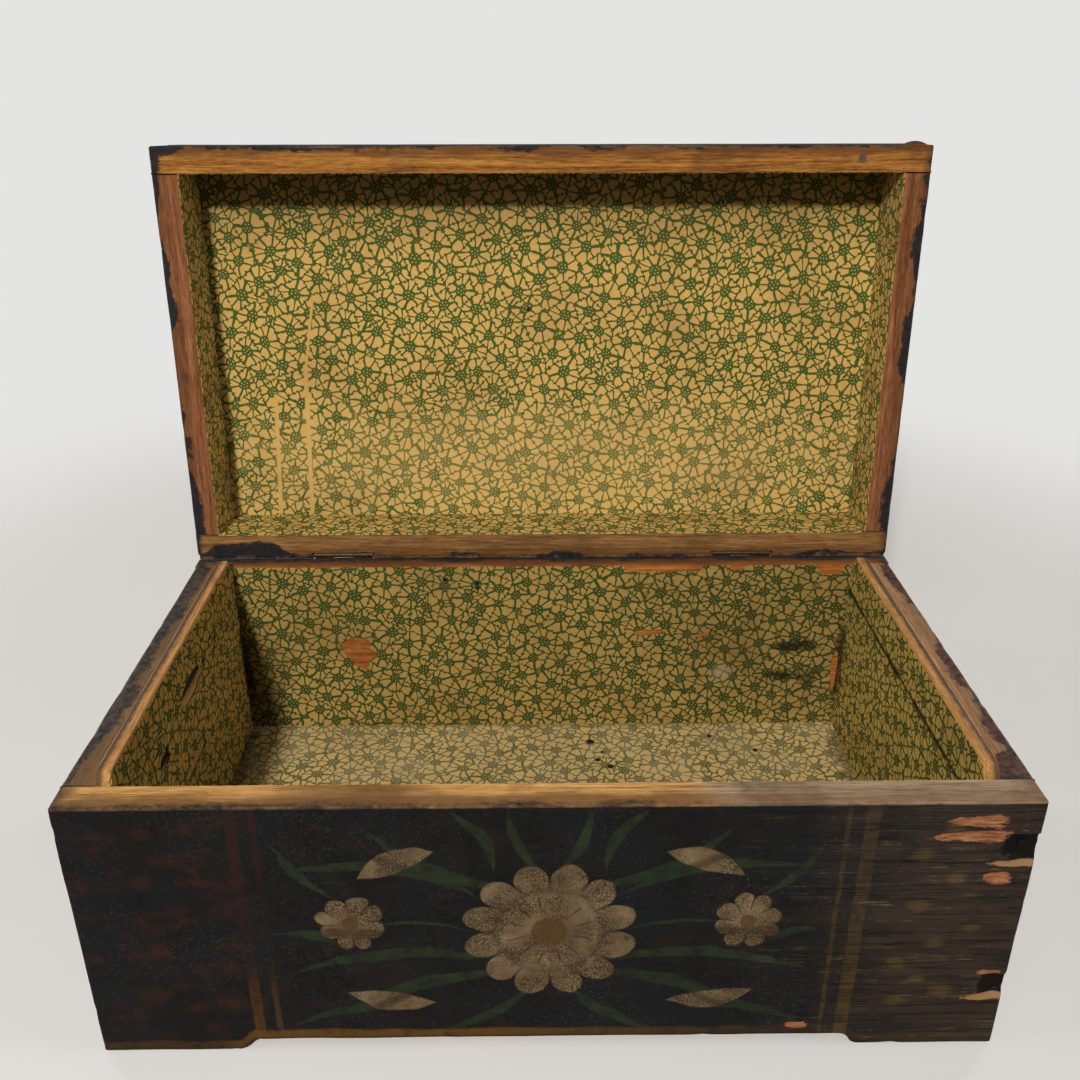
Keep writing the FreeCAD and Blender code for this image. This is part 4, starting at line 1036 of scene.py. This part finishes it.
left_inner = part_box("left_lower_paper")[0].x / MM
torn_sheet("back_lining_paper", back_outline(), BACK_TEARS,
           lambda u, v, out: (u, BACK_FACE - out, v), back_paper)
left_sheet = torn_sheet("left_lower_paper", left_outline(), LEFT_TEARS,
                        lambda u, v, out: (left_inner + out, u, v), left_paper)
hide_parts("left_upper_paper")

# Metal pieces
iron = metal_material("nail_iron_old", "33291f", "54463a", "4a2c1c", 0.4)
brass = metal_material("hinge_brass_old", "2e2517", "54432a", "241b10", 0.8)
dress(iron, "lid_rim_nail")
dress(brass, *(name for name in frame["nodes"] if "hinge" in name))


# Studio
PALE_GROUND, AMBIENT = "e4e4e3", 0.04
WARM, PLAIN = (1, 0.97, 0.93), (1, 0.99, 0.98)
# Lamps: name, place, aim, size, power, colour
LAMPS = (
    ("key_lamp", (-0.42, -1.55, 1.42), (0, 0, 0.14), 0.18, 45, WARM),
    ("top_lamp", (-0.35, -1.2, 1.9), (0, 0, 0.1), 1, 4, PLAIN),
    ("right_lamp", (1.9, -0.25, 0.68), (0, 0, 0.1), 0.7, 10, PLAIN),
    ("left_lamp", (-1.9, -0.25, 0.68), (0, 0, 0.1), 0.7, 9, PLAIN),
    ("back_right_lamp", (1.3, 1.1, 0.22), (0, 0.1, 0.12), 0.34, 15, PLAIN),
    ("back_left_lamp", (-1.3, 1.1, 0.22), (0, 0.1, 0.12), 0.34, 15, PLAIN),
)
# Camera, solved from corners of the box: metres, degrees, then millimetres of the sensor and metres
CAMERA_PLACE, CAMERA_ANGLES = (-0.007437, -0.434982, 0.394701), (64.8306, 0.0424, -0.6452)
SENSOR_WIDTH, FOCAL_LENGTH, NEAR_LIMIT = 36, 36.165, 0.01


def stage_material():
    """Pale floor that keeps its shadows near the box and turns into an even pale ground farther off."""
    g = Graph("studio_pale")
    place = g.node("ShaderNodeTexCoord", output="Object")
    x, y, _ = g.split(place)
    tone = g.noise(place, 3, 3)
    shown = g.shown()
    pale = g.mix(tone, "d2d1cf", "d7d6d5")
    floor = g.node("ShaderNodeBsdfDiffuse", {"Color": g.mix(shown, "a39a8c", pale)})
    even = g.node("ShaderNodeEmission", {"Color": PALE_GROUND, "Strength": 1})
    far = shown * g.step(0.45, 0.95, g.length(x, y))
    surface = g.node("ShaderNodeMixShader", {0: far, 1: floor, 2: even})
    g.node("ShaderNodeOutputMaterial", {"Surface": surface})
    return g.owner


def add_stage():
    """A pale floor that curves up into a wall."""
    width, front, corner, radius, height = 4, -2.5, 0.9, 0.4, 3
    profile = [(front, 0), (corner, 0)]
    bend = np.linspace(0, math.pi / 2, 13)[1:]
    profile += [(corner + radius * math.sin(a), radius - radius * math.cos(a)) for a in bend]
    profile.append((corner + radius, height))
    vertices = [(x, y, z) for y, z in profile for x in (-width, width)]
    faces = [(2 * i, 2 * i + 1, 2 * i + 3, 2 * i + 2) for i in range(len(profile) - 1)]
    mesh = bpy.data.meshes.new("studio_floor")
    mesh.from_pydata(vertices, [], faces)
    mesh.materials.append(stage_material())
    mesh.shade_smooth()
    floor = bpy.data.objects.new("studio_floor", mesh)
    SCENE.collection.objects.link(floor)


def add_lamp(name, place, aim, size, power, colour):
    """A round lamp that lights the part and isn't seen itself."""
    lamp = bpy.data.lights.new(name, "AREA")
    lamp.shape = "DISK"
    lamp.size = size
    lamp.energy = power
    lamp.color = colour
    thing = bpy.data.objects.new(name, lamp)
    thing.location = place
    thing.rotation_euler = (Vector(aim) - Vector(place)).to_track_quat("-Z", "Y").to_euler()
    thing.visible_camera = False
    SCENE.collection.objects.link(thing)


def add_world():
    """Weak light from all sides, and the pale ground where the camera sees past the floor."""
    g = Graph("studio_world", bpy.data.worlds.new("studio_world"))
    colour = g.mix(g.shown(), (AMBIENT, AMBIENT, AMBIENT, 1), PALE_GROUND)
    sky = g.node("ShaderNodeBackground", {"Color": colour, "Strength": 1})
    g.node("ShaderNodeOutputWorld", {"Surface": sky})
    SCENE.world = g.owner


def add_camera():
    """The camera that the photograph was taken with."""
    camera = bpy.data.objects.new("photo_camera", bpy.data.cameras.new("photo_camera"))
    camera.location = CAMERA_PLACE
    camera.rotation_euler = tuple(math.radians(a) for a in CAMERA_ANGLES)
    camera.data.sensor_width = SENSOR_WIDTH
    camera.data.lens = FOCAL_LENGTH
    camera.data.clip_start = NEAR_LIMIT
    SCENE.collection.objects.link(camera)
    SCENE.camera = camera


add_stage()
for lamp in LAMPS:
    add_lamp(*lamp)
add_world()
add_camera()
SCENE.view_settings.view_transform = "Standard"
